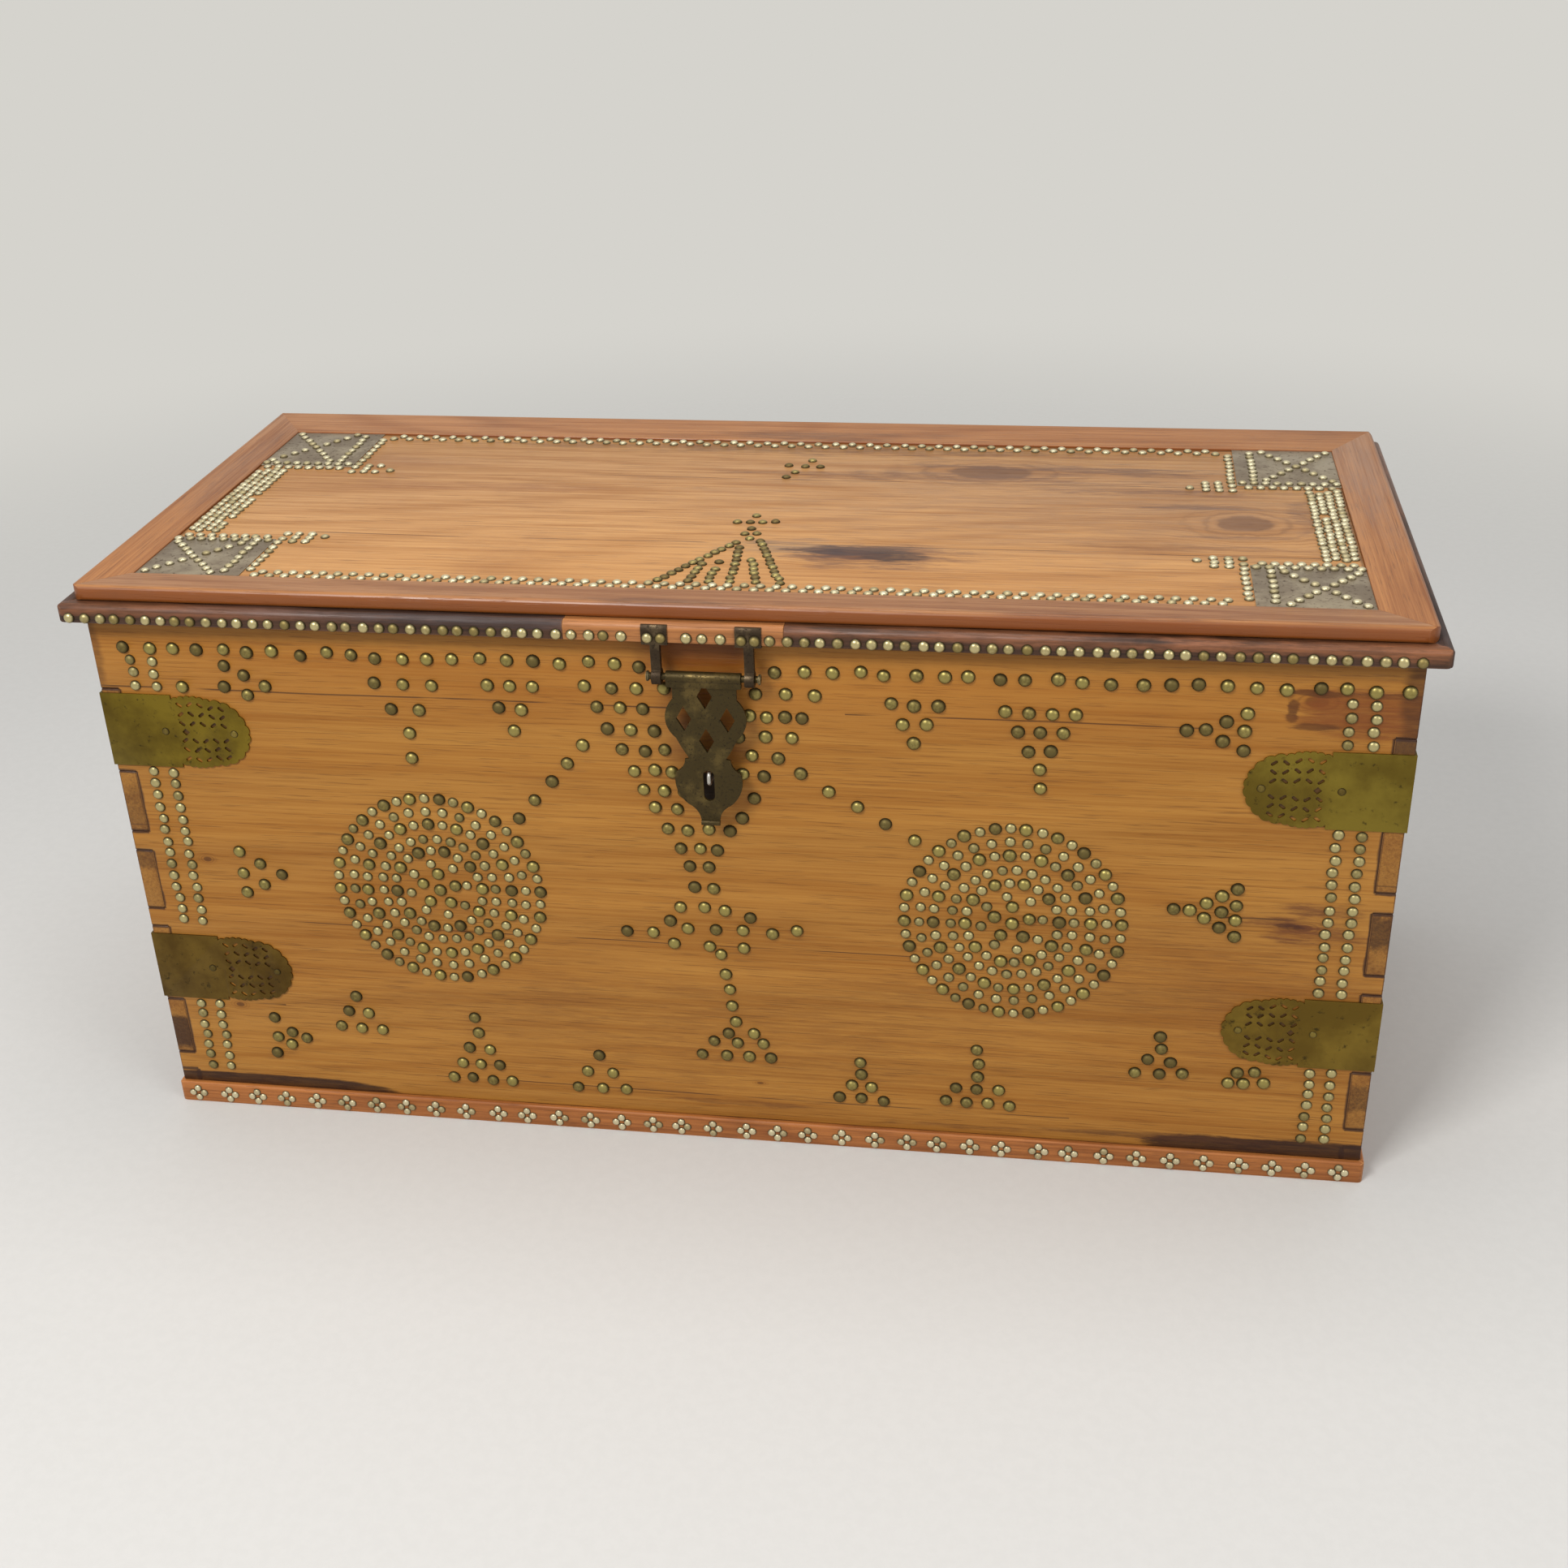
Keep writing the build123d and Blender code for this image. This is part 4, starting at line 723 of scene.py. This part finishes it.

# %% [markdown]
# The rails are a redder wood, with painted shade on their upright faces. The lip under them is
# nearly black except for the length that was replaced. The plinth is red again, and the planks
# inside are dry and dull.

# %% Rails, lip, plinth and inner boards
rail_stains = {
    "front": (
        ((70, 36, 22), 0.6, (-0.04, -0.243), 0.06, 0.007, 1.4, 2.0, 0.5),
        ((90, 46, 28), 0.5, (0.30, -0.243), 0.10, 0.007, 1.4, 2.0, 0.5),
    ),
    "back": (((84, 52, 34), 0.7, (0.02, 0.195), 0.10, 0.014, 1.6, 2.0, 0.6),),
    "left": (((110, 72, 52), 0.5, (0.06, -0.54), 0.10, 0.014, 1.6, 2.0, 0.6),),
    "right": (((130, 96, 76), 0.6, (0.10, 0.545), 0.12, 0.02, 1.6, 2.0, 0.8),),
}
rail_materials = {
    f"lid_rail_{side}": wood(
        f"rail_{side}_wood",
        "XYZ" if side in ("front", "back") else "YXZ",
        (168, 112, 62), (124, 72, 33), (72, 38, 19), stains=stains, seed=6.0 + number,
        contrast=0.9, coarseness=0.8, grime=0.25, grime_colour=(100, 60, 36), roughness=0.38,
        # The rails' upright faces take painted shade.
        specular=0.5, end_dark=0.3, side_colour=(122, 60, 6), side_dark=0.85, worn=0.15,
    )
    for number, (side, stains) in enumerate(rail_stains.items())
}
lip_wood = {
    side: wood(
        f"lip_{side}_wood",
        "XZY" if side == "long" else "YZX",
        (79, 49, 29), (40, 22, 12), (22, 11, 6),
        stains=(
            ((156, 98, 62), 0.7, (0.50, 0.528), 0.10, 0.006, 1.6, 2.0, 0.6),
            ((140, 88, 58), 0.65, (0.17, 0.529), 0.20, 0.004, 1.8, 2.0, 0.6),
            ((138, 86, 56), 0.65, (-0.47, 0.528), 0.16, 0.004, 1.6, 2.0, 0.6),
            ((76, 66, 66), 0.5, (-0.25, 0.529), 0.16, 0.004, 1.6, 2.0, 0.6),
        ),
        seed=11.0 + len(side),
        contrast=1.1, coarseness=0.7, grime=0.4, grime_colour=(44, 26, 18), roughness=0.45,
        end_dark=0.2, worn=0.35, worn_colour=(150, 104, 80),
    )
    for side in ("long", "short")
}
lip_repair = wood(
    "lip_repair_wood", "XZY", (172, 112, 62), (120, 71, 34), (68, 36, 19), seed=13.0,
    coarseness=0.7, grime=0.45, grime_colour=(102, 59, 31), roughness=0.5,
)
plinth_wood = {
    side: wood(
        f"plinth_{side}_wood",
        "XZY" if side == "long" else "YZX",
        (180, 112, 56), (134, 76, 32), (70, 38, 20),
        seed=14.0 + len(side),
        coarseness=0.7, grime=0.4, roughness=0.5, end_dark=0.3,
    )
    for side in ("long", "short")
}
inner_wood = {
    grain: wood(
        f"inner_{grain.lower()}_wood",
        grain, (182, 128, 78), (134, 86, 48), (84, 52, 30), seed=seed, grime=0.4, roughness=0.62,
        specular=0.2, bump=0.5,
    )
    for grain, seed in (("XYZ", 16.0), ("YZX", 17.0), ("YXZ", 18.0))
}
print("made", len(bpy.data.materials), "materials so far")

# %% [markdown]
# The metals. Straps are thin sheet brass, dull olive with a little gold, and the plates on the lid
# have gone grey-brown. The hasp, its rod and its eyes are old bronze, dark brown, and the hasp's
# edges are rubbed pale and carry a painted highlight. The staple is steel, worn bright. The hinges
# and handles are black iron with a trace of rust. One recipe makes them all from three colours and a
# few shares, and paints every rounded edge paler, partly as wear and partly as painted highlight.


# %% Metal material
usual_metal = dict(
    bright_share=0.5, grime_share=0.4, cloud_scale=30.0, metallic=0.85, bump=0.4,
    rubbed=0.5, rubbed_colour=None,
)


def metal(name, bright, dull, grime, **look):
    look = {**usual_metal, **look}
    material, wires, shader, place = start_material(name)
    old = group_node(
        wires,
        "Old metal",
        Vector=place["Object"],
        Bright=rgb(*bright),
        Dull=rgb(*dull),
        Grime=rgb(*grime),
        Bright_share=look["bright_share"],
        Grime_share=look["grime_share"],
        Cloud_scale=look["cloud_scale"],
    )
    # Rounded edges are painted paler: partly wear, partly painted highlight.
    rubbed = wires.times(wires.attribute("worn"), look["rubbed"])
    colour = wires.blend(rubbed, old.outputs["Color"], rgb(*(look["rubbed_colour"] or bright)))
    shine = {"Roughness": old.outputs["Roughness"], "Metallic": look["metallic"]}
    relief = old.outputs["Height"]
    finish_surface(wires, shader, relief, look["bump"], metal_relief, Base_Color=colour, **shine)
    return material


strap_brass = {
    name: metal(
        f"brass_of_{name}", bright, dull, (52, 42, 18), cloud_scale=scale, grime_share=0.3, bump=0.5
    )
    for name, bright, dull, scale in (
        ("strap_upper_left", (126, 106, 32), (94, 76, 20), 12.0),
        ("strap_upper_right", (130, 112, 40), (102, 84, 26), 13.0),
        ("strap_lower_left", (110, 86, 34), (84, 62, 20), 15.0),
        ("strap_lower_right", (130, 106, 40), (102, 80, 26), 11.0),
    )
}
plate_brass = metal(
    "plate_brass", (160, 146, 122), (124, 110, 92), (74, 60, 48), bright_share=0.45,
    cloud_scale=22.0, metallic=0.6, bump=0.5,
)
hasp_metal = metal(
    "hasp_bronze", (98, 81, 43), (65, 53, 26), (38, 30, 17), bright_share=0.35, cloud_scale=45.0,
    # The hasp's pale edges: rubbed metal and painted highlight.
    metallic=0.75, bump=0.6, rubbed=0.7, rubbed_colour=(170, 158, 124),
)
eye_bronze = metal(
    "eye_bronze", (88, 73, 51), (58, 45, 30), (35, 26, 17), bright_share=0.35, cloud_scale=60.0,
    metallic=0.75, bump=0.6,
)
staple_steel = metal(
    "staple_steel", (190, 186, 178), (140, 134, 126), (70, 56, 46), bright_share=0.6,
    cloud_scale=90.0, metallic=0.9,
)
iron = metal(
    "old_iron", (92, 84, 84), (52, 44, 44), (62, 36, 26), bright_share=0.3, grime_share=0.5,
    cloud_scale=60.0, metallic=0.8, bump=0.8, rubbed=0.4, rubbed_colour=(130, 122, 118),
)
print("made", len(bpy.data.materials), "materials")

# %% [markdown]
# Nails need colour that changes from one to the next and from the rim to the crown of each. The
# geometry tree that makes them stores both as attributes: tone is one random number for each nail,
# and crown runs from 0 at the rim to 1 at the top. The material reads them by name. It darkens the
# rim, partly for dirt round the head and partly as painted shade.


# %% Nail material
tone_softness, mottle_share = 0.3, 0.7
rim_from, rim_to, rim_dark = 0.42, 0.98, 0.85


def nail_metal(name, bright, dark, rim, bright_share, roughness):
    material, wires, shader, place = start_material(name)
    tone = wires.attribute("tone")
    crown = wires.attribute("crown")
    mottle = wires.noise(place["Object"], scale=420.0, detail=3.0)
    value = wires.times_plus(wires.minus(mottle, 0.5), mottle_share, tone)
    dull = wires.between(value, bright_share - tone_softness, bright_share + tone_softness)
    colour = wires.blend(dull, rgb(*bright), rgb(*dark))
    # The dark rim: partly dirt round the head, partly painted shade.
    rimmed = wires.fading(wires.times_plus(mottle, 0.25, crown), rim_from, rim_to)
    colour = wires.blend(wires.times(rimmed, rim_dark), colour, rgb(*rim))
    rough = wires.times_plus(rimmed, 0.15, wires.times_plus(dull, 0.18, roughness))
    shine = {"Roughness": rough, "Metallic": 0.8}
    finish_surface(wires, shader, mottle, 0.15, nail_relief, Base_Color=colour, **shine)
    return material


brass_looks = {  # crown when bright, crown when dull, rim, share that is bright, roughness
    "large": ((152, 138, 78), (104, 90, 50), (40, 32, 14), 0.6, 0.36),
    "small": ((180, 168, 118), (132, 118, 72), (46, 38, 20), 0.72, 0.34),
    "lip": ((190, 176, 128), (134, 118, 70), (46, 38, 20), 0.62, 0.32),
    "lid": ((220, 209, 172), (170, 156, 116), (80, 68, 44), 0.75, 0.3),
    "fan": ((160, 144, 88), (116, 98, 58), (56, 44, 24), 0.5, 0.34),
    "strap": ((128, 110, 50), (92, 76, 32), (48, 38, 16), 0.5, 0.35),
}
nail_metals = {use: nail_metal(f"{use}_nail_brass", *look) for use, look in brass_looks.items()}
nail_metals["iron"] = nail_metal("iron_nail", (84, 78, 76), (52, 46, 44), (34, 28, 26), 0.5, 0.45)
print("made", len(bpy.data.materials), "materials")

# %% [markdown]
# The real nails were cast or stamped and driven by hand, so no two sit alike. The frame holds them
# as plain solids. This cell measures each one: its triangles are joined into islands, the longest
# side of an island gives the nail's line, and its widest ring is the seat of the head.


# %% Measure the nails
steps_in_metre = 1e5  # points that round to the same hundredth of a millimetre are one
rim_band = 2e-5  # metres within the widest ring that still count as rim


def nail_seats(node):
    """Seat, facing, head radius and head height of every nail in a node of the frame."""
    mesh = nodes[node].data
    points = np.empty(len(mesh.vertices) * 3, np.float32)
    mesh.vertices.foreach_get("co", points)
    points = points.reshape(-1, 3).astype(float)
    corners = np.empty(len(mesh.loops), np.int32)
    mesh.loops.foreach_get("vertex_index", corners)
    rounded = np.round(points * steps_in_metre).astype(np.int64)
    merged, where = np.unique(rounded, axis=0, return_inverse=True)
    triangles = where.reshape(-1)[corners].reshape(-1, 3)
    label = np.arange(len(merged))
    while True:
        lowest = label[triangles].min(axis=1)
        before = label.copy()
        for corner in range(3):
            np.minimum.at(label, triangles[:, corner], lowest)
        label = label[label]
        if np.array_equal(label, before):
            break
    spots = merged / steps_in_metre
    seats = []
    for island in np.unique(label[triangles]):
        own = spots[label == island]
        low, high = own.min(axis=0), own.max(axis=0)
        axis = int(np.argmax(high - low))
        others = [a for a in range(3) if a != axis]
        middle = (low + high) / 2
        off = np.linalg.norm(own[:, others] - middle[others], axis=1)
        rim = own[off > off.max() - rim_band][:, axis].mean()
        outward = 1.0 if rim > middle[axis] else -1.0
        top = high[axis] if outward > 0 else low[axis]
        seat = middle.copy()
        seat[axis] = rim
        facing = np.zeros(3)
        facing[axis] = outward
        seats.append((seat, facing, float(off.max()), abs(float(top - rim))))
    return seats


nail_nodes = [node for node in nodes if node.endswith(("_studs", "_nails"))]
seats_of = {node: nail_seats(node) for node in nail_nodes}
nail_count = sum(len(seats) for seats in seats_of.values())
print("measured", nail_count, "nails in", len(nail_nodes), "groups")

# %% [markdown]
# One geometry tree makes every group of nails. It starts from a ball of few faces, cuts off its
# lower part but for a short skirt that reaches into the wood, stores how high each point lies, and
# puts a copy on each seat with a slightly different size, tilt and height. The skirt hides the gap
# that a tilt would open. The tree ends in plain faces with their material on.

# %% Nail tree
ball_segments, ball_rings = 14, 8
cut_height = -0.5  # of a ball of radius 1
flattest = 0.85  # least height of a head that the hammer met, as a share of the full one


def random_between(low, high, step):
    """A number drawn for each nail. A step of its own keeps each draw apart from the others."""
    drawn = wires.add(
        "FunctionNodeRandomValue",
        {"data_type": "FLOAT"},
        Min=low, Max=high,
        Seed=wires.plus(given["Seed"], step),
    )
    return enabled_output(drawn)


tree = bpy.data.node_groups.new("Driven nails", "GeometryNodeTree")
face = tree.interface
face.new_socket("Geometry", in_out="OUTPUT", socket_type="NodeSocketGeometry")
face.new_socket("Geometry", in_out="INPUT", socket_type="NodeSocketGeometry")
tree_inputs = {}
for name, kind, value in (
    ("Head radius", "NodeSocketFloat", 0.0055),
    ("Head height", "NodeSocketFloat", 0.0036),
    ("Skirt", "NodeSocketFloat", 0.001),
    ("Size spread", "NodeSocketFloat", 0.08),
    ("Tilt", "NodeSocketFloat", 0.07),
    ("Seed", "NodeSocketInt", 1),
):
    tree_inputs[name] = face.new_socket(name, in_out="INPUT", socket_type=kind)
    tree_inputs[name].default_value = value
tree_inputs["Brass"] = face.new_socket("Brass", in_out="INPUT", socket_type="NodeSocketMaterial")
wires = Wires(tree)
given = wires.add("NodeGroupInput").outputs
ball = wires.add("GeometryNodeMeshUVSphere", Segments=ball_segments, Rings=ball_rings, Radius=1.0)
spot = wires.split(wires.add("GeometryNodeInputPosition").outputs[0])
lifted = wires.math("MAXIMUM", spot[2], 0.0)
sunk = wires.times(wires.math("MINIMUM", spot[2], 0.0), given["Skirt"])
flat = wires.joined(
    wires.times(spot[0], given["Head radius"]),
    wires.times(spot[1], given["Head radius"]),
    wires.times_plus(lifted, given["Head height"], sunk),
)
below = wires.math("LESS_THAN", spot[2], cut_height)
cut_ball = wires.add(
    "GeometryNodeDeleteGeometry", {"domain": "POINT"}, Geometry=ball.outputs[0], Selection=below
)
with_crown = wires.add(
    "GeometryNodeStoreNamedAttribute",
    {"data_type": "FLOAT", "domain": "POINT"},
    Geometry=cut_ball.outputs[0],
    Name="crown", Value=lifted,
)
head = wires.add("GeometryNodeSetPosition", Geometry=with_crown.outputs[0], Position=flat)
facing = wires.add("GeometryNodeInputNamedAttribute", {"data_type": "FLOAT_VECTOR"}, Name="facing")
square = wires.add("FunctionNodeAlignRotationToVector", {"axis": "Z"}, Vector=facing.outputs[0])
lean = wires.add("FunctionNodeRandomValue", {"data_type": "FLOAT_VECTOR"}, Seed=given["Seed"])
most = wires.joined(given["Tilt"], given["Tilt"], math.pi)
wires.feed(lean, Max=most, Min=wires.stretched(most, -1.0, -1.0, -1.0))
turn = wires.add("FunctionNodeEulerToRotation", Euler=lean.outputs[0])
set_turn = wires.add(
    "FunctionNodeRotateRotation", {"rotation_space": "LOCAL"}, Rotation=square.outputs[0]
)
wires.feed(set_turn, Rotate_By=turn.outputs[0])
size = random_between(1.0, wires.plus(1.0, given["Size spread"]), 7.0)
squash = random_between(flattest, 1.0, 13.0)
driven = wires.add(
    "GeometryNodeInstanceOnPoints",
    Points=given["Geometry"],
    Instance=head.outputs[0],
    Rotation=set_turn.outputs[0],
    Scale=wires.joined(size, size, squash),
)
with_tone = wires.add(
    "GeometryNodeStoreNamedAttribute",
    {"data_type": "FLOAT", "domain": "INSTANCE"},
    Geometry=driven.outputs[0],
    Name="tone",
    Value=random_between(0.0, 1.0, 29.0),
)
plain = wires.add("GeometryNodeRealizeInstances", Geometry=with_tone.outputs[0])
smooth = wires.add("GeometryNodeSetShadeSmooth", Geometry=plain.outputs[0])
dressed = wires.add("GeometryNodeSetMaterial", Geometry=smooth.outputs[0], Material=given["Brass"])
wires.add("NodeGroupOutput", Geometry=dressed.outputs[0])
print("nail tree has", len(tree.nodes), "nodes")

# %% [markdown]
# Each group of nails takes the tree with its own values. Most heads start a little wider and taller
# than the frame's, and the tree then lowers each one a little. The points hold the seats, the
# modifier grows the nails on them, and the result is copied out as one plain mesh, because a
# finished piece may hold no live modifier.


# %% Drive the nails
def modified_mesh(thing):
    """A plain mesh of an object as its modifiers leave it."""
    seen = thing.evaluated_get(bpy.context.evaluated_depsgraph_get())
    return bpy.data.meshes.new_from_object(seen)


def finish_piece(piece, node):
    """Hand a finished piece to its body, in place of the frame's own piece."""
    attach(piece, body_of_node[node])
    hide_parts(node)


def drive_nails(node, material, seed, wider, taller):
    """One plain mesh of better nails in place of a group of the frame's."""
    seats = seats_of[node]
    points = bpy.data.meshes.new(node + "_seats")
    points.from_pydata([tuple(seat) for seat, *_ in seats], [], [])
    facings = points.attributes.new("facing", "FLOAT_VECTOR", "POINT")
    facings.data.foreach_set("vector", np.concatenate([facing for _, facing, _, _ in seats]))
    holder = new_object(node + "_seats", points)
    modifier = holder.modifiers.new("nails", "NODES")
    modifier.node_group = tree
    values = {
        "Head radius": wider * max(radius for *_, radius, _ in seats),
        "Head height": taller * max(height for *_, height in seats),
        "Skirt": nail_skirt,
        "Size spread": nail_size_spread,
        "Tilt": nail_tilt,
        "Seed": seed,
        "Brass": material,
    }
    for name, value in values.items():
        modifier[tree_inputs[name].identifier] = value
    piece = new_object(node + "_driven", modified_mesh(holder))
    bpy.data.objects.remove(holder)
    finish_piece(piece, node)
    return piece


nail_skirt = 0.001  # metres of the head that reach into the wood
nail_size_spread = 0.08
nail_tilt = 0.07  # radians at most, either way
first_seed = 100
nail_looks = {  # metal, and how much wider and taller than the frame's nails
    "top_row_studs": ("large", 1.04, 1.25),
    "v_motif_studs": ("large", 1.04, 1.25),
    "triangle_studs": ("large", 1.04, 1.25),
    "roundel_large_studs": ("large", 1.04, 1.25),
    "roundel_small_studs": ("small", 1.14, 1.2),
    "column_studs": ("small", 1.1, 1.2),
    "plinth_studs": ("lid", 1.12, 1.15),
    "lip_studs": ("lip", 1.0, 1.15),
    "lid_plate_studs": ("lid", 1.05, 1.1),
    "lid_border_studs": ("lid", 1.05, 1.1),
    "lid_fan_studs": ("fan", 1.08, 1.1),
    "strap_nails": ("strap", 1.0, 1.0),
    "case_hinge_nails": ("iron", 1.0, 1.0),
    "lid_hinge_nails": ("iron", 1.0, 1.0),
}
for number, (node, (use, wider, taller)) in enumerate(nail_looks.items()):
    nails = drive_nails(node, nail_metals[use], first_seed + number, wider, taller)
    print(nails.name, len(nails.data.polygons), "faces")

# %% [markdown]
# The frame's boards have knife-sharp edges. Real arrises are rounded by use, and the small shadow
# at each joint comes from that rounding. This cell copies a piece, joins its loose triangles,
# clears the needless edges on its flats and bevels what is left sharp. The bevel gives its new
# faces a second material slot for a moment, and that is how the face attribute of the rounded
# edges finds them. The materials tint those edges: pale wear on most wood, dirt and painted shade
# on the front and end boards, wear and painted highlight on metal.


# %% Soften a piece
flat_within = math.radians(0.5)  # edges between faces this close to level are dissolved
sharp_from = math.radians(35.0)
weld_distance = 1e-6


def soften(node, material, width):
    """A copy of one of the frame's pieces with its sharp edges rounded by width in metres."""
    piece = new_object(node + "_shaped", nodes[node].data.copy())
    shape = bmesh.new()
    shape.from_mesh(piece.data)
    bmesh.ops.remove_doubles(shape, verts=shape.verts, dist=weld_distance)
    bmesh.ops.dissolve_limit(shape, angle_limit=flat_within, verts=shape.verts, edges=shape.edges)
    shape.to_mesh(piece.data)
    shape.free()
    bevel = piece.modifiers.new("round", "BEVEL")
    bevel.width = width
    bevel.segments = 2
    bevel.limit_method = "ANGLE"
    bevel.angle_limit = sharp_from
    piece.data.materials.clear()
    piece.data.materials.append(material)
    piece.data.materials.append(material)
    bevel.material = 1
    mesh = modified_mesh(piece)
    piece.modifiers.clear()
    piece.data = mesh
    faces = len(piece.data.polygons)
    slots = np.zeros(faces, np.int32)
    piece.data.polygons.foreach_get("material_index", slots)
    # Marks the rounded faces, whose tint stands for wear and dirt and, on some materials, painted
    # shade and painted highlight.
    worn = piece.data.attributes.new("worn", "FLOAT", "FACE")
    worn.data.foreach_set("value", (slots == 1).astype(np.float32))
    piece.data.polygons.foreach_set("material_index", np.zeros(faces, np.int32))
    piece.data.materials.clear()
    piece.data.materials.append(material)
    piece.data.set_sharp_from_angle(angle=sharp_from)
    finish_piece(piece, node)


print("edges sharper than", round(math.degrees(sharp_from)), "degrees are rounded")

# %% [markdown]
# Each piece gets its material and a rounding that suits it: boards the widest, sheet brass the
# least. What comes in pairs or fours is named by loops.

# %% Pieces to soften
long_sides, short_sides = ("front", "back"), ("left", "right")
board_round, plank_round, trim_round, thin_round = 0.0012, 0.001, 0.0008, 0.0006
forged_round, eye_round, strap_round, sheet_round = 0.0005, 0.0004, 0.0003, 0.0002
soft_pieces = {"front_board": (front_wood, board_round), "lid_board": (lid_wood, thin_round)}
for node, material in case_materials.items():
    soft_pieces[node] = (material, board_round)
for side in long_sides:
    soft_pieces[f"plinth_{side}"] = (plinth_wood["long"], trim_round)
for side in short_sides:
    soft_pieces[f"plinth_{side}"] = (plinth_wood["short"], trim_round)
    soft_pieces[f"lid_lip_{side}"] = (lip_wood["short"], trim_round)
    soft_pieces[f"hasp_eye_{side}"] = (eye_bronze, eye_round)
    soft_pieces[f"{side}_handle_lugs"] = (iron, forged_round)
    soft_pieces[f"{side}_bail"] = (iron, forged_round)
for node, material in rail_materials.items():
    soft_pieces[node] = (material, trim_round)
for part in ("front_left", "front_right", "back"):
    soft_pieces[f"lid_lip_{part}"] = (lip_wood["long"], trim_round)
soft_pieces["lid_lip_front_centre"] = (lip_repair, trim_round)
for part in ("front", "middle", "back"):
    soft_pieces[f"floor_plank_{part}"] = (inner_wood["XYZ"], plank_round)
soft_pieces["till_side"] = (inner_wood["YZX"], plank_round)
soft_pieces["till_floor"] = (inner_wood["YXZ"], thin_round)
for node, material in strap_brass.items():
    soft_pieces[node] = (material, strap_round)
for end in long_sides:
    for hand in short_sides:
        soft_pieces[f"lid_corner_plate_{end}_{hand}"] = (plate_brass, sheet_round)
for part, material, width in (
    ("plate", hasp_metal, forged_round),
    ("rod", hasp_metal, forged_round),
    ("staple", staple_steel, sheet_round),
):
    soft_pieces[f"hasp_{part}"] = (material, width)
for node in ("case_hinge_leaves", "lid_hinge_leaves", "hinge_pins"):
    soft_pieces[node] = (iron, forged_round)
for node, (material, width) in soft_pieces.items():
    soften(node, material, width)
print("softened", len(soft_pieces), "pieces")

# %% [markdown]
# The chest stands on a plain pale floor that fades out into a background of nearly the same colour,
# so it can be seen from any side.

# %% Floor
floor_fade = (1.15, 2.8)  # the floor is whole inside the first radius and gone at the second
floor_shape = bmesh.new()
bmesh.ops.create_circle(floor_shape, cap_ends=True, segments=64, radius=floor_fade[1] + 0.1)
floor_mesh = bpy.data.meshes.new("floor")
floor_shape.to_mesh(floor_mesh)
floor_shape.free()
floor = new_object("floor", floor_mesh)
pale_floor, wires, shader, place = start_material("pale_floor")
sheet = wires.noise(place["Object"], scale=90.0, detail=4.0, roughness=0.7)
sheet = wires.blend(wires.between(sheet, 0.35, 0.65), rgb(203, 201, 197), rgb(201, 199, 195))
reach = wires.vector("LENGTH", place["Object"])
alpha = wires.fading(reach, *floor_fade)
wires.feed(shader, Base_Color=sheet, Alpha=alpha, Roughness=0.9, Specular_IOR_Level=0.1)
floor_mesh.materials.append(pale_floor)
print("floor fades out at", floor_fade[1], "m")

# %% [markdown]
# Three area lamps do what a photographer's soft boxes do. The key stands high on the left of the
# front and gives each nail its highlight, the fill opens the shadows on the right, and the top lamp
# lights the lid. The world behind them has one colour for what is seen straight or in a reflection,
# and another that lights matt surfaces, so the background can be pale without washing out the wood.

# %% Lamps and world
lamp_aim = Vector((0, 0, 0.3))
lamps = {  # place, size in metres and power in watts
    "key": ((-1.2, -2.4, 2.9), (1.2, 0.8), 92),
    "fill": ((2.2, -1.8, 1.8), (1.4, 1.4), 22),
    "top": ((0.0, 0.2, 3.0), (2.2, 1.4), 26),
}
for name, (place, size, power) in lamps.items():
    data = bpy.data.lights.new(name, "AREA")
    data.shape = "RECTANGLE"
    data.size, data.size_y = size
    data.energy = power
    lamp = new_object(name, data)
    lamp.location = place
    lamp.rotation_euler = (lamp_aim - Vector(place)).to_track_quat("-Z", "Y").to_euler()
room_light, room_strength = (0.86, 0.87, 0.88, 1.0), 0.56
backdrop_colour = rgb(213, 211, 205)
world = bpy.data.worlds.new("pale_room")
bpy.context.scene.world = world
world.use_nodes = True
world.node_tree.nodes.clear()
wires = Wires(world.node_tree)
rays = wires.add("ShaderNodeLightPath").outputs
straight = wires.math("MAXIMUM", rays["Is Camera Ray"], rays["Is Glossy Ray"])
straight = wires.math("MAXIMUM", straight, rays["Is Transmission Ray"])
room = wires.add("ShaderNodeBackground", Color=room_light, Strength=room_strength)
backdrop = wires.add("ShaderNodeBackground", Color=backdrop_colour, Strength=1.0)
sky = wires.add("ShaderNodeMixShader")
wires.fill(sky, (straight, room.outputs[0], backdrop.outputs[0]))
wires.add("ShaderNodeOutputWorld", Surface=sky.outputs[0])
bpy.context.scene.view_settings.view_transform = "Standard"
print(len(bpy.data.lights), "lamps")

# %% [markdown]
# The camera looks down at the front from a little to the right, and leans by two degrees. Its
# matrix is built from those angles, because a turn, a tilt and a lean are easier to check than
# three Euler angles.

# %% Camera
turn, tilt, lean = math.radians(9.46), math.radians(28.03), math.radians(-1.94)
camera_place = (0.28790, -1.68563, 1.16184)
image_pixels = 1932
focal_pixels = 2405.5
sensor_width = 36.0
forward = Vector((-math.sin(turn), math.cos(turn), 0.0))
backward = math.sin(tilt) * Vector((0, 0, 1)) - math.cos(tilt) * forward
level = Vector((math.cos(turn), math.sin(turn), 0.0))
upright = backward.cross(level)
right = math.cos(lean) * level + math.sin(lean) * upright
up = -math.sin(lean) * level + math.cos(lean) * upright
camera_data = bpy.data.cameras.new("camera")
camera_data.sensor_fit = "HORIZONTAL"
camera_data.sensor_width = sensor_width
camera_data.lens = sensor_width * focal_pixels / image_pixels
camera_data.clip_start = 0.05
camera = new_object("camera", camera_data)
axes = Matrix((right, up, backward)).transposed()
camera.matrix_world = Matrix.Translation(camera_place) @ axes.to_4x4()
bpy.context.scene.camera = camera
print("camera lens", round(camera_data.lens, 2), "mm")
